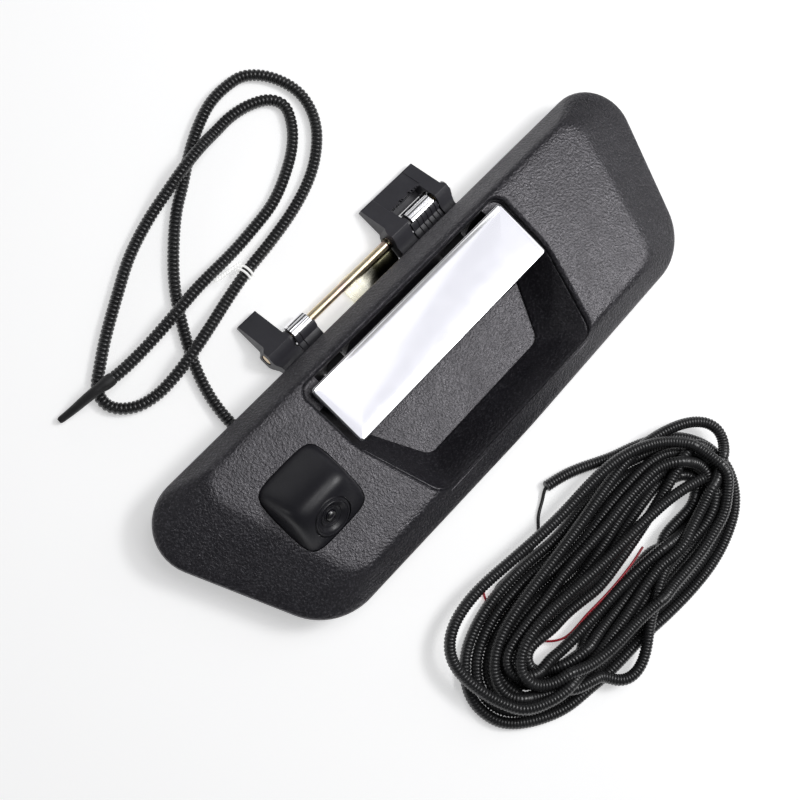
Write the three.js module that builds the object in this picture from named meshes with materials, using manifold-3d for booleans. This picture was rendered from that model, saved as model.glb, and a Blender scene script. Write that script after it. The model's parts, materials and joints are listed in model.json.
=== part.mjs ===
// Tailgate handle bezel with a built-in backup camera, a chrome pull handle and its cables.
// Millimetres. The part lies on its back: +X runs along the bezel, +Y points to its upper
// edge, where the handle's hinge is, and +Z is the direction that the face looks in.
import * as THREE from "three";
import { mergeVertices } from "three/addons/utils/BufferGeometryUtils.js";
import Module from "manifold-3d";

const wasm = await Module();
wasm.setup();

// ---------------------------------------------------------------- driving dimensions
const GAP = 0.3; // clearance between pieces that touch
const RIM_Z = 20; // height of the bezel's rim plane above the surface that the part lies on
const SKIN = 2.6; // wall thickness of the bezel
const RIM = { top: 375, bottom: 287, high: 54, low: -54, rTop: 25, rLow: 35, bow: 2.4 };
const FACE = { top: 292, bottom: 241, high: 45, low: -42, rTop: 12, rLow: 16, bow: 1.6 };
const FACE_Z = RIM_Z + 10.5; // height of the raised middle of the face
const BEVEL_ROUND = 2.5; // softening between the face and its bevel
const RIM_EDGE = 3; // depth of the rim's edge

const CUP_X = 1; // middle of the hand recess and of the handle
const CUP_TOP_Y = 42;
const CUP_LOW_Y = -45;
const CUP_TOP_HALF = 76;
const CUP_LOW_HALF = 60;
const CUP_KNEE = [75, 4]; // where the mouth starts to narrow towards its lower edge
const CUP_FLOOR_Z = RIM_Z - 14;
const LIP_ROUND = 1.8;

const PIN_Y = 64.7;
const PIN_Z = RIM_Z - 13;
const PIN_R = 2.5;
const BLOCK_TOP_Y = 87;
const BLOCK_FOOT_Y = 45;
const KNUCKLE_R = 5.8;
const LEFT_ARM = [-52.2, -39.2];
const RIGHT_ARM = [38.6, 56.2];
const LEFT_BLOCK = [-67.5, -55];
const RIGHT_BLOCK = [23, 68];
const NOTCH = [35.5, 57.5];
const NOTCH_TOP_Y = 75;

const PADDLE_HALF = 72.3;
const PADDLE_LOW_Y = 2.2;
const PADDLE_HIGH_Y = 38.4;
const PADDLE_FRONT_Z = RIM_Z + 12.5;
const PADDLE_THICK = 3;

const HOOD_X = -107.5;
const LENS_Y = -10.6;
const LENS_Z = RIM_Z + 19.5;
const LENS_TILT = (43 * Math.PI) / 180; // how far the lens looks down from straight out
const LENS_RING_R = 10.3;

const LOOM_R = 3.1;
const LOOM_SIDES = 8;
const HANK_HEIGHT = 18;

// ---------------------------------------------------------------- materials
const material = (color, roughness, metalness = 0) =>
  new THREE.MeshStandardMaterial({ color, roughness, metalness });

const grainedBlack = material(0x1d1d1f, 0.75);
const satinBlack = material(0x161618, 0.45);
const nylonBlack = material(0x232325, 0.6);
const chrome = material(0xe6e8ea, 0.06, 1);
const yellowZinc = material(0xd8b765, 0.3, 1);
const steel = material(0x9a9da1, 0.35, 1);
const rubber = material(0x18181a, 0.85);
const glass = material(0x0b0d12, 0.05);
const boardGreen = material(0x1d5a3a, 0.6);
const loomBlack = material(0x141416, 0.5);
const wireRed = material(0xb01820, 0.45);
const tieWhite = material(0xf0f0ee, 0.5);

// ---------------------------------------------------------------- solids
const part = new THREE.Group();

function addPiece(name, shape, look) {
  const geometry = shape instanceof wasm.Manifold ? toGeometry(shape) : shape;
  const piece = new THREE.Mesh(geometry, look);
  piece.name = name;
  part.add(piece);
  return piece;
}

function toSolid(geometry) {
  if (geometry instanceof wasm.Manifold) {
    return geometry;
  }
  const bare = geometry.index ? geometry.toNonIndexed() : geometry.clone();
  bare.deleteAttribute("normal");
  bare.deleteAttribute("uv");
  const welded = mergeVertices(bare, 1e-4);
  return new wasm.Manifold(
    new wasm.Mesh({
      numProp: 3,
      vertProperties: new Float32Array(welded.attributes.position.array),
      triVerts: new Uint32Array(welded.index.array),
    }),
  );
}

function toGeometry(solid) {
  const result = solid.getMesh();
  const geometry = new THREE.BufferGeometry();
  geometry.setAttribute("position", new THREE.BufferAttribute(result.vertProperties, 3));
  geometry.setIndex(new THREE.BufferAttribute(result.triVerts, 1));
  geometry.computeVertexNormals();
  return geometry;
}

const joined = (...pieces) => pieces.map(toSolid).reduce((whole, piece) => whole.add(piece));

// The first solid without the others.
function cut(geometry, ...tools) {
  const rest = tools.map(toSolid).reduce((solid, tool) => solid.subtract(tool), toSolid(geometry));
  return toGeometry(rest);
}

const common = (geometry, other) => toSolid(geometry).intersect(toSolid(other));

function box([x0, x1], [y0, y1], [z0, z1]) {
  const geometry = new THREE.BoxGeometry(x1 - x0, y1 - y0, z1 - z0);
  return geometry.translate((x0 + x1) / 2, (y0 + y1) / 2, (z0 + z1) / 2);
}

// A round bar along X or Z, from one coordinate to another, at its other two coordinates.
function bar(axis, radius, [from, to], [a, b], sides = 20) {
  const geometry = new THREE.CylinderGeometry(radius, radius, to - from, sides);
  const middle = (from + to) / 2;
  if (axis === "x") {
    return geometry.rotateZ(-Math.PI / 2).translate(middle, a, b);
  }
  return geometry.rotateX(Math.PI / 2).translate(a, b, middle);
}

// A closed profile of [y, z] points, extruded along X.
function extrudeAlongX(profile, [x0, x1]) {
  const shape = new THREE.Shape(profile.map(([y, z]) => new THREE.Vector2(y, z)));
  const geometry = new THREE.ExtrudeGeometry(shape, { depth: x1 - x0, bevelEnabled: false });
  const turn = new THREE.Matrix4().set(0, 0, 1, x0, 1, 0, 0, 0, 0, 1, 0, 0, 0, 0, 0, 1);
  return geometry.applyMatrix4(turn);
}

// A closed outline of [x, y] points, extruded along Z.
function extrudeUp(outline, [z0, z1]) {
  const shape = new THREE.Shape(outline.map(([x, y]) => new THREE.Vector2(x, y)));
  const geometry = new THREE.ExtrudeGeometry(shape, { depth: z1 - z0, bevelEnabled: false });
  return geometry.translate(0, 0, z0);
}

// Rounds each corner [x, y, radius] of an outline, given anticlockwise, with a true arc.
function roundCorners(corners, steps) {
  const points = [];
  corners.forEach(([x, y, radius], i) => {
    const corner = new THREE.Vector2(x, y);
    const [px, py] = corners[(i + corners.length - 1) % corners.length];
    const [nx, ny] = corners[(i + 1) % corners.length];
    const back = new THREE.Vector2(px, py).sub(corner).normalize();
    const ahead = new THREE.Vector2(nx, ny).sub(corner).normalize();
    const half = Math.acos(THREE.MathUtils.clamp(back.dot(ahead), -1, 1)) / 2;
    const inward = back.clone().add(ahead).normalize();
    const centre = corner.clone().addScaledVector(inward, radius / Math.sin(half));
    const start = corner.clone().addScaledVector(back, radius / Math.tan(half)).sub(centre);
    const sweep = Math.PI - 2 * half;
    for (let k = 0; k <= steps; k += 1) {
      const p = start.clone().rotateAround(new THREE.Vector2(), (sweep * k) / steps).add(centre);
      points.push([p.x, p.y]);
    }
  });
  return points;
}

// Joins rings of equally many points, lowest first, into one closed solid with flat ends.
function loft(rings) {
  const count = rings[0].outline.length;
  const positions = rings.flatMap(({ outline, z }) => outline.flatMap(([x, y]) => [x, y, z]));
  const index = [];
  for (let r = 0; r + 1 < rings.length; r += 1) {
    for (let i = 0; i < count; i += 1) {
      const a = r * count + i;
      const b = r * count + ((i + 1) % count);
      index.push(a, b, b + count, a, b + count, a + count);
    }
  }
  const flat = (outline) => outline.map(([x, y]) => new THREE.Vector2(x, y));
  const last = (rings.length - 1) * count;
  for (const [a, b, c] of THREE.ShapeUtils.triangulateShape(flat(rings[0].outline), [])) {
    index.push(c, b, a);
  }
  for (const [a, b, c] of THREE.ShapeUtils.triangulateShape(flat(rings.at(-1).outline), [])) {
    index.push(last + a, last + b, last + c);
  }
  const geometry = new THREE.BufferGeometry();
  geometry.setAttribute("position", new THREE.Float32BufferAttribute(positions, 3));
  geometry.setIndex(index);
  return geometry;
}

// The rounded trapezoid of the rim or of the face, moved inward by inset.
function trapezoid(t, inset, steps = 6) {
  const slope = (t.top - t.bottom) / 2 / (t.high - t.low);
  const half = (y) => t.bottom / 2 + slope * (y - t.low) - inset * Math.hypot(1, slope);
  const high = t.high - inset;
  const low = t.low + inset;
  return roundCorners(
    [
      [-half(low), low, t.rLow - inset],
      [0, low - t.bow, 900],
      [half(low), low, t.rLow - inset],
      [half(high), high, t.rTop - inset],
      [-half(high), high, t.rTop - inset],
    ],
    steps,
  );
}

// The origin is the middle of the pieces that aren't on a cord, at the resting surface.
const lowestEdge = Math.min(...trapezoid(RIM, 0).map(([, y]) => y));
part.position.y = -(BLOCK_TOP_Y + lowestEdge) / 2;

// ---------------------------------------------------------------- bezel
// The recess's outline at a share of the way from its mouth (0) to its floor (1).
function cupOutline(share, outset) {
  const mouth = [
    [-CUP_LOW_HALF, CUP_LOW_Y, 9],
    [CUP_LOW_HALF, CUP_LOW_Y, 9],
    [CUP_KNEE[0], CUP_KNEE[1], 45],
    [CUP_TOP_HALF, CUP_TOP_Y, 6],
    [-CUP_TOP_HALF, CUP_TOP_Y, 6],
    [-CUP_KNEE[0], CUP_KNEE[1], 45],
  ];
  const floor = [
    [-43, -28, 8],
    [43, -28, 8],
    [61.5, 6, 20],
    [67, 38, 7],
    [-67, 38, 7],
    [-61.5, 6, 20],
  ];
  const corners = mouth.map(([x, y, radius], i) => [
    THREE.MathUtils.lerp(x, floor[i][0], share) + Math.sign(x) * outset + CUP_X,
    THREE.MathUtils.lerp(y, floor[i][1], share) + (Math.abs(y) > 10 ? Math.sign(y) * outset : 0),
    THREE.MathUtils.lerp(radius, floor[i][2], share) + outset,
  ]);
  return roundCorners(corners, 4);
}

function cupRings(outset, mouthZ, floorZ) {
  const shares = [0, 0.3, 0.65, 0.9, 1];
  const heights = [0, 0.35, 0.72, 0.93, 1];
  return shares
    .map((share, i) => ({
      outline: cupOutline(share, outset),
      z: THREE.MathUtils.lerp(mouthZ, floorZ, heights[i]),
    }))
    .reverse();
}

function bezelSkin(inset, drop) {
  const rings = [
    { outline: trapezoid(RIM, inset + 0.6), z: RIM_Z - RIM_EDGE - (drop > 0 ? 5 : 0) },
    { outline: trapezoid(RIM, inset), z: RIM_Z - 1.2 - drop / 2 },
    { outline: trapezoid(RIM, inset + 1.5), z: RIM_Z + 0.8 - drop },
    { outline: trapezoid(FACE, inset / 2 - BEVEL_ROUND), z: FACE_Z - 1.2 - drop },
    { outline: trapezoid(FACE, inset / 2), z: FACE_Z - 0.3 - drop },
    { outline: trapezoid(FACE, inset / 2 + BEVEL_ROUND), z: FACE_Z - drop },
  ];
  return loft(rings);
}

const BOSS_R = 5;
const STUD_R = 2.6;
const STUD_TOP = FACE_Z - 6;
const MOUNT_BOSSES = [
  [-138, 29],
  [138, 29],
  [-110, -34],
  [110, -34],
];
const CAMERA_BOSSES = [HOOD_X - 27.5, HOOD_X + 27.5];
const CAMERA_BOSS_Y = 2;
const FLANGE_Z = [RIM_Z + 0.3, RIM_Z + 1.8];
const RIBS_X = [-152, -73, 92, 122, 150];
const BLOCK_SCREWS = [
  [-61.2, 48.2],
  [29.2, 48.2],
  [62.6, 48.2],
];
const FOOT_Z = [5.5, 12];
const FOOT_POST_TOP = RIM_Z + 2.5;
const LEDGE_Z = RIM_Z + 6;

function hoodOutline(z, outset) {
  const levels = [
    { z: 10.5, low: -20.3, high: 23.4, half: 21.2 },
    { z: 15, low: -15.4, high: 19.6, half: 20.2 },
    { z: 20, low: -10.1, high: 13.9, half: 19.3 },
    { z: 25, low: -4.7, high: 7.9, half: 17.8 },
    { z: 27.6, low: -2.4, high: 4.6, half: 15.4 },
    { z: 28.6, low: -1, high: 2.6, half: 12.6 },
  ];
  const above = levels.findIndex((level) => level.z >= z - RIM_Z);
  const top = levels[Math.max(above, 1)];
  const base = levels[Math.max(above, 1) - 1];
  const share = Math.max((z - RIM_Z - base.z) / (top.z - base.z), 0);
  const low = THREE.MathUtils.lerp(base.low, top.low, share) - outset;
  const high = THREE.MathUtils.lerp(base.high, top.high, share) + outset;
  const half = THREE.MathUtils.lerp(base.half, top.half, share) + outset;
  const radius = Math.min(6.5, (high - low) / 2.2) + outset / 2;
  return roundCorners(
    [
      [HOOD_X - half, low, radius],
      [HOOD_X + half, low, radius],
      [HOOD_X + half, high, radius],
      [HOOD_X - half, high, radius],
    ],
    4,
  );
}

function makeBezel() {
  const outer = toSolid(bezelSkin(0, 0));
  const inside = toSolid(bezelSkin(SKIN, SKIN));
  const ribs = RIBS_X.map((x) => box([x - 0.9, x + 0.9], [-60, 60], [RIM_Z - 1, FACE_Z]));
  const posts = [
    ...MOUNT_BOSSES.map((at) => bar("z", BOSS_R, [RIM_Z - RIM_EDGE, FACE_Z - 1.5], at, 16)),
    ...CAMERA_BOSSES.map((x) => bar("z", 3.2, [FLANGE_Z[1] + GAP, FACE_Z - 1.3], [x, CAMERA_BOSS_Y], 10)),
    ...BLOCK_SCREWS.map((at) => bar("z", 3.2, [FOOT_Z[1] + GAP, FOOT_POST_TOP], at, 10)),
  ];
  const cupBody = loft(cupRings(SKIN, FACE_Z - 1.1, CUP_FLOOR_Z - SKIN));
  const ledges = [-70, 70].map((x) => box([CUP_X + x - 5.5, CUP_X + x + 5.5], [28, 60], [-5, LEDGE_Z]));
  const hollow = loft([
    ...cupRings(0, FACE_Z - 1.6, CUP_FLOOR_Z),
    { outline: cupOutline(0, LIP_ROUND * 0.3), z: FACE_Z - 0.7 },
    { outline: cupOutline(0, LIP_ROUND), z: FACE_Z + 0.01 },
    { outline: cupOutline(0, LIP_ROUND + 0.1), z: FACE_Z + 2 },
  ]);
  const windows = [LEFT_ARM, RIGHT_ARM].map(([x0, x1]) =>
    box([x0 - 1.4, x1 + 1.4], [15, 45.4], [-1, FACE_Z - 5]),
  );
  const bores = [
    ...MOUNT_BOSSES.map((at) => bar("z", STUD_R + GAP, [0, STUD_TOP + GAP], at, 16)),
    ...CAMERA_BOSSES.map((x) => bar("z", 1.4, [RIM_Z, FACE_Z - 4], [x, CAMERA_BOSS_Y], 8)),
    ...BLOCK_SCREWS.map((at) => bar("z", 1.6, [0, FOOT_POST_TOP - 2], at, 8)),
  ];
  const ribbing = joined(...ribs).intersect(outer);
  const shell = outer.subtract(inside).add(ribbing);
  const filled = joined(shell, cupBody, ...posts);
  return cut(
    filled,
    cut(hollow, ...ledges),
    ...windows,
    ...bores,
    extrudeUp(hoodOutline(FACE_Z, GAP), [RIM_Z + 5, FACE_Z + 2]),
  );
}

addPiece("bezel", makeBezel(), grainedBlack);

// ---------------------------------------------------------------- camera
// A frame on the lens axis: +Z points out of the lens, +Y up the slope of the hood's face.
const lensFrame = new THREE.Matrix4()
  .makeTranslation(HOOD_X, LENS_Y, LENS_Z)
  .multiply(new THREE.Matrix4().makeRotationX(LENS_TILT));
const onLens = (geometry) => geometry.applyMatrix4(lensFrame);

// A turned piece on the lens axis from a closed profile of [radius, height] points.
function lensTurned(profile, sides = 28) {
  const points = [...profile, profile[0]].map(([r, h]) => new THREE.Vector2(r, h));
  return onLens(new THREE.LatheGeometry(points, sides).rotateX(Math.PI / 2));
}

function makeHood() {
  const levels = [FLANGE_Z[1] - 0.2, FACE_Z, RIM_Z + 15, RIM_Z + 20, RIM_Z + 25, RIM_Z + 27.6, RIM_Z + 28.6];
  const outer = loft(levels.map((z) => ({ outline: hoodOutline(z, 0), z })));
  const inner = loft(
    [FLANGE_Z[0] - 1, FACE_Z, RIM_Z + 15, RIM_Z + 20, RIM_Z + 25].map((z) => ({
      outline: hoodOutline(z, -2),
      z: z > FACE_Z ? z - 1 : z,
    })),
  );
  const flange = box([HOOD_X - 24.2, HOOD_X + 24.2], [-22.5, 25.5], FLANGE_Z);
  const ears = box([HOOD_X - 31.2, HOOD_X + 31.2], [CAMERA_BOSS_Y - 4, CAMERA_BOSS_Y + 4], FLANGE_Z);
  const bores = CAMERA_BOSSES.map((x) => bar("z", 1.5, [0, RIM_Z + 5], [x, CAMERA_BOSS_Y], 8));
  const lensHole = onLens(bar("z", LENS_RING_R + GAP, [-3, 6], [0, 0], 28));
  const barrelHole = onLens(bar("z", 8.1, [-8, 6], [0, 0], 24));
  return cut(joined(outer, flange, ears), inner, ...bores, lensHole, barrelHole);
}

addPiece("camera_hood", makeHood(), satinBlack);
addPiece(
  "lens_ring",
  lensTurned([
    [6.1, -2.4],
    [LENS_RING_R, -2.4],
    [LENS_RING_R, 0.5],
    [9.7, 1.1],
    [8.6, 1.1],
    [7.6, -0.2],
    [6.9, 0.1],
    [6.1, -1],
  ]),
  satinBlack,
);
addPiece(
  "lens_barrel",
  lensTurned([
    [3.4, -11],
    [7.4, -11],
    [7.4, -2.8],
    [5.8, -2.8],
    [5.8, -1.2],
    [5, -0.7],
    [3.4, -2],
  ]),
  satinBlack,
);
addPiece(
  "lens_glass",
  lensTurned([
    [0, -7],
    [3.1, -7],
    [3.1, -1.7],
    [2.5, -1.1],
    [1.4, -0.7],
    [0, -0.55],
  ]),
  glass,
);
addPiece(
  "lens_seal",
  lensTurned(
    Array.from({ length: 8 }, (_, k) => [
      8.5 - 0.7 * Math.cos((k * Math.PI) / 4),
      -9.6 - 0.7 * Math.sin((k * Math.PI) / 4),
    ]),
    24,
  ),
  rubber,
);

const BODY_HALF = [11, 8];
const BODY_Z = [-21.3, -11.3];
function makeCameraBody() {
  const [hx, hy] = BODY_HALF;
  const outer = onLens(box([-hx, hx], [-hy, hy], BODY_Z));
  const pocket = onLens(box([-hx + 1.5, hx - 1.5], [-hy + 1.5, hy - 1.5], [BODY_Z[0] - 1, BODY_Z[1] - 2]));
  const light = onLens(bar("z", 2.8, [BODY_Z[0], 0], [0, 0], 16));
  return cut(outer, pocket, light);
}
addPiece("camera_body", makeCameraBody(), satinBlack);
addPiece("camera_board", onLens(box([-9, 9], [-6, 6], [-17.6, -16.4])), boardGreen);

function makeBackCap() {
  const [hx, hy] = BODY_HALF;
  const plate = onLens(box([-hx, hx], [-hy, hy], [BODY_Z[0] - 2.3, BODY_Z[0] - GAP]));
  const port = onLens(bar("z", 2.2, [BODY_Z[0] - 3, 0], [0, 0], 12));
  return cut(plate, port);
}
addPiece("camera_back_cap", makeBackCap(), satinBlack);
addPiece(
  "cable_boot",
  lensTurned(
    [
      [1.6, BODY_Z[0] - 10],
      [3.4, BODY_Z[0] - 10],
      [4.6, BODY_Z[0] - 4],
      [5.2, BODY_Z[0] - 2.6],
      [1.6, BODY_Z[0] - 2.6],
    ],
    16,
  ),
  rubber,
);

// A pan head screw: its head is below z = 0 and its shank points up.
function screwShape({ head, shank, length }) {
  const profile = [
    [0, -head * 0.62],
    [head * 0.7, -head * 0.6],
    [head, -head * 0.3],
    [head, 0],
    [shank, 0],
    [shank, length],
    [0, length],
  ].map(([r, h]) => new THREE.Vector2(r, h));
  return new THREE.LatheGeometry(profile, 14).rotateX(Math.PI / 2);
}

function addScrew(name, [x, y], z, size) {
  addPiece(name, screwShape(size).translate(x, y, z), steel);
}

CAMERA_BOSSES.forEach((x, i) =>
  addScrew(`camera_screw_${i + 1}`, [x, CAMERA_BOSS_Y], FLANGE_Z[0] - GAP, {
    head: 2.8,
    shank: 1.1,
    length: 6.4,
  }),
);

// ---------------------------------------------------------------- pivot blocks
// Side profile of a block: a foot behind the bezel, a thick boss at the pin and a wedge
// that thins towards the top.
const BLOCK_PROFILE = [
  [BLOCK_FOOT_Y, FOOT_Z[0]],
  [52, FOOT_Z[0]],
  [56.5, 0],
  [BLOCK_TOP_Y, 0],
  [BLOCK_TOP_Y, 4.2],
  [70, 13.2],
  [67.6, 14.4],
  [64.4, 14.8],
  [60, 13.9],
  [56, FOOT_Z[1]],
  [BLOCK_FOOT_Y, FOOT_Z[1]],
];

function makeBlock([x0, x1], flare, cuts) {
  const bulk = extrudeAlongX(BLOCK_PROFILE, [x0 - 4, x1 + 4]);
  const face = [
    [x0 + flare, 40],
    [x1 - flare, 40],
    [x1 - flare, 55],
    [x1, 61],
    [x1, 68],
    [x1 - flare, 71],
    [x1 - flare, BLOCK_TOP_Y + 1],
    [x0 + flare, BLOCK_TOP_Y + 1],
    [x0 + flare, 71],
    [x0, 68],
    [x0, 61],
    [x0 + flare, 55],
  ];
  return cut(common(bulk, extrudeUp(face, [-1, 20])), ...cuts);
}

const pinHole = bar("x", PIN_R + 0.25, [-90, 90], [PIN_Y, PIN_Z], 18);
const screwHoles = BLOCK_SCREWS.map((at) => bar("z", 1.7, [0, 20], at, 8));
const leftBlock = makeBlock([LEFT_BLOCK[0] - 2.5, LEFT_BLOCK[1]], 0, [
  pinHole,
  ...screwHoles,
  box([-80, LEFT_BLOCK[0]], [69, 90], [-1, 20]),
  box([-80, LEFT_BLOCK[0]], [40, 60.5], [-1, 20]),
]);
addPiece("pivot_block_left", leftBlock, nylonBlack);

const SPRING_R = 5;
const SPRING_WIRE_R = 0.65;
const SPRING_X = [58.6, 64.6];
const rightBlock = makeBlock(RIGHT_BLOCK, 2, [
  pinHole,
  ...screwHoles,
  box(NOTCH, [0, NOTCH_TOP_Y], [-1, 20]),
  bar("x", SPRING_R + SPRING_WIRE_R + 0.5, [NOTCH[1] - 1, SPRING_X[1] + 0.9], [PIN_Y, PIN_Z], 20),
  box([NOTCH[1] - 1, SPRING_X[0] + 1], [40, PIN_Y], [PIN_Z - 5.9, PIN_Z - 3.9]),
]);
addPiece("pivot_block_right", rightBlock, nylonBlack);

BLOCK_SCREWS.forEach((at, i) =>
  addScrew(`block_screw_${i + 1}`, at, FOOT_Z[0] - GAP, { head: 3, shank: 1.25, length: 14.5 }),
);

// ---------------------------------------------------------------- hinge
const PIN_ENDS = [LEFT_BLOCK[0] - 1.9, RIGHT_BLOCK[1] + 2.4];
const pinHead = bar("x", 3.6, [PIN_ENDS[0] - 2.2, PIN_ENDS[0] - 0.9], [PIN_Y, PIN_Z], 20);
const CLIP_X = [RIGHT_BLOCK[1] + GAP, RIGHT_BLOCK[1] + 1.3];
const clipGroove = cut(
  bar("x", PIN_R + 1, CLIP_X, [PIN_Y, PIN_Z], 20),
  bar("x", PIN_R - 0.5, [60, 90], [PIN_Y, PIN_Z], 20),
);
const pinShaft = bar("x", PIN_R, [PIN_ENDS[0] - 1, PIN_ENDS[1]], [PIN_Y, PIN_Z], 20);
addPiece("hinge_pin", cut(joined(pinHead, pinShaft), clipGroove), yellowZinc);

function makeClip() {
  const [x0, x1] = [CLIP_X[0] + 0.15, CLIP_X[1] - 0.15];
  const disc = bar("x", 4.4, [x0, x1], [PIN_Y, PIN_Z], 20);
  const seat = bar("x", PIN_R - 0.3, [x0 - 1, x1 + 1], [PIN_Y, PIN_Z], 20);
  const mouth = box([x0 - 1, x1 + 1], [PIN_Y, PIN_Y + 6], [PIN_Z - 1.9, PIN_Z + 1.9]);
  return cut(disc, seat, mouth);
}
addPiece("pin_clip", makeClip(), steel);

function ringOnPin([x0, x1], outer, sides = 20) {
  return cut(
    bar("x", outer, [x0, x1], [PIN_Y, PIN_Z], sides),
    bar("x", PIN_R + 0.2, [x0 - 1, x1 + 1], [PIN_Y, PIN_Z], 18),
  );
}
addPiece("spacer_bush", ringOnPin([LEFT_BLOCK[1] + GAP, LEFT_ARM[0] - GAP], 4.6), nylonBlack);

// The return spring: coils round the pin in the right block, one leg in the block and one
// on the arm.
function makeSpring() {
  const turns = 3.75;
  const steps = Math.round(turns * 12);
  const points = [new THREE.Vector3(NOTCH[1] - 0.75, PIN_Y - 13, PIN_Z - SPRING_R + 0.1)];
  for (let k = 0; k <= steps; k += 1) {
    const angle = (k / steps) * turns * 2 * Math.PI;
    const x = THREE.MathUtils.lerp(SPRING_X[0], SPRING_X[1] - 0.4, k / steps);
    points.push(
      new THREE.Vector3(x, PIN_Y - SPRING_R * Math.sin(angle), PIN_Z - SPRING_R * Math.cos(angle)),
    );
  }
  return tubeAlong(points, SPRING_WIRE_R, 6, points.length * 2);
}

// A round tube along a smooth curve through points.
function tubeAlong(points, radius, sides, steps) {
  const circle = Array.from({ length: sides }, (_, k) => {
    const angle = (2 * Math.PI * k) / sides;
    return new THREE.Vector2(radius * Math.cos(angle), radius * Math.sin(angle));
  });
  return new THREE.ExtrudeGeometry(new THREE.Shape(circle), {
    steps,
    extrudePath: new THREE.CatmullRomCurve3(points, false, "centripetal"),
  });
}
addPiece("return_spring", makeSpring(), steel);

// ---------------------------------------------------------------- handle
const ARM_LEG_Z = [1.6, 8.6];
const ARM_NECK_Y = [18, 26];
const PADDLE_BACK_Z = PADDLE_FRONT_Z - PADDLE_THICK;
const ARM_TOP_Z = PADDLE_BACK_Z - GAP;

function makeArm([x0, x1]) {
  const knuckle = bar("x", KNUCKLE_R, [x0, x1], [PIN_Y, PIN_Z], 24);
  const profile = [
    [ARM_NECK_Y[0] + 2, ARM_LEG_Z[0]],
    [PIN_Y, ARM_LEG_Z[0]],
    [PIN_Y, PIN_Z + 5.1],
    [55, PIN_Z + 4.3],
    [49, ARM_LEG_Z[1]],
    [ARM_NECK_Y[1] + 4, ARM_LEG_Z[1]],
    [ARM_NECK_Y[1], ARM_LEG_Z[1] + 3],
    [ARM_NECK_Y[1], ARM_TOP_Z],
    [ARM_NECK_Y[0] - 6, ARM_TOP_Z],
    [ARM_NECK_Y[0] - 6, ARM_TOP_Z - 3],
    [ARM_NECK_Y[0] - 0.3, ARM_TOP_Z - 3],
    [ARM_NECK_Y[0], ARM_TOP_Z - 5],
    [ARM_NECK_Y[0], ARM_LEG_Z[0] + 2],
  ];
  const bore = bar("x", PIN_R + 0.2, [x0 - 1, x1 + 1], [PIN_Y, PIN_Z], 18);
  const feet = armScrewsOf([x0, x1]).map((at) => bar("z", 1.25, [0, PADDLE_FRONT_Z], at, 8));
  const arm = joined(knuckle, extrudeAlongX(profile, [x0 + ARM_STEP, x1 - ARM_STEP]));
  return cut(arm, bore, ...feet, ...leverBores);
}

const ARM_STEP = 1.2;
const ARM_SCREW_Y = 15;
const armScrewsOf = ([x0, x1]) => [x0 + 3.8, x1 - 3.8].map((x) => [x, ARM_SCREW_Y]);
const LEVER_SHEET = 2;
const LEVER_Z = [0.9, 0.9 + LEVER_SHEET];
const LEVER_X = [-12.5, RIGHT_BLOCK[0] - 0.4];
const LEVER_STRIP_Y = [45.5, 53];
const LEVER_FLANGE_X = LEFT_ARM[1] - ARM_STEP + GAP;
const LEVER_SCREWS = [47.8, 51.6].map((y) => [y, 5.4]);
const leverBores = LEVER_SCREWS.map((at) => bar("x", 1.15, [LEFT_ARM[1] - 6, LEFT_ARM[1] + 4], at, 8));

addPiece("handle_arm_left", makeArm(LEFT_ARM), chrome);
addPiece("handle_arm_right", makeArm(RIGHT_ARM), chrome);

const ARM_SCREWS = [LEFT_ARM, RIGHT_ARM].flatMap(armScrewsOf);

function makePaddle() {
  const left = CUP_X - PADDLE_HALF;
  const right = CUP_X + PADDLE_HALF;
  const middle = (PADDLE_LOW_Y + PADDLE_HIGH_Y) / 2;
  const outline = (inset, radius) =>
    roundCorners(
      [
        [left + inset, PADDLE_LOW_Y + inset, radius],
        [right - inset, PADDLE_LOW_Y + inset, radius],
        [right - inset, PADDLE_HIGH_Y - inset, radius],
        [left + inset, PADDLE_HIGH_Y - inset, radius],
      ],
      3,
    );
  const plate = loft([
    { outline: outline(0, 2.2), z: PADDLE_BACK_Z },
    { outline: outline(0, 2.2), z: PADDLE_FRONT_Z - 1 },
    { outline: outline(0.9, 1.6), z: PADDLE_FRONT_Z },
  ]);
  const wallZ = [PADDLE_BACK_Z - 3, PADDLE_BACK_Z + 1];
  const wall = cut(
    box([left + 1, right - 1], [PADDLE_LOW_Y + 1, PADDLE_HIGH_Y - 7], wallZ),
    box([left + 3, right - 3], [PADDLE_LOW_Y + 3, middle + 15], [wallZ[0] - 1, PADDLE_BACK_Z]),
  );
  const bores = ARM_SCREWS.map((at) => bar("z", 1.25, [0, PADDLE_FRONT_Z - 1.2], at, 8));
  return cut(joined(plate, wall), ...bores);
}
addPiece("handle_paddle", makePaddle(), chrome);

ARM_SCREWS.forEach((at, i) =>
  addScrew(`arm_screw_${i + 1}`, at, ARM_TOP_Z - 3 - GAP, { head: 2, shank: 0.95, length: 5 }),
);

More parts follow.
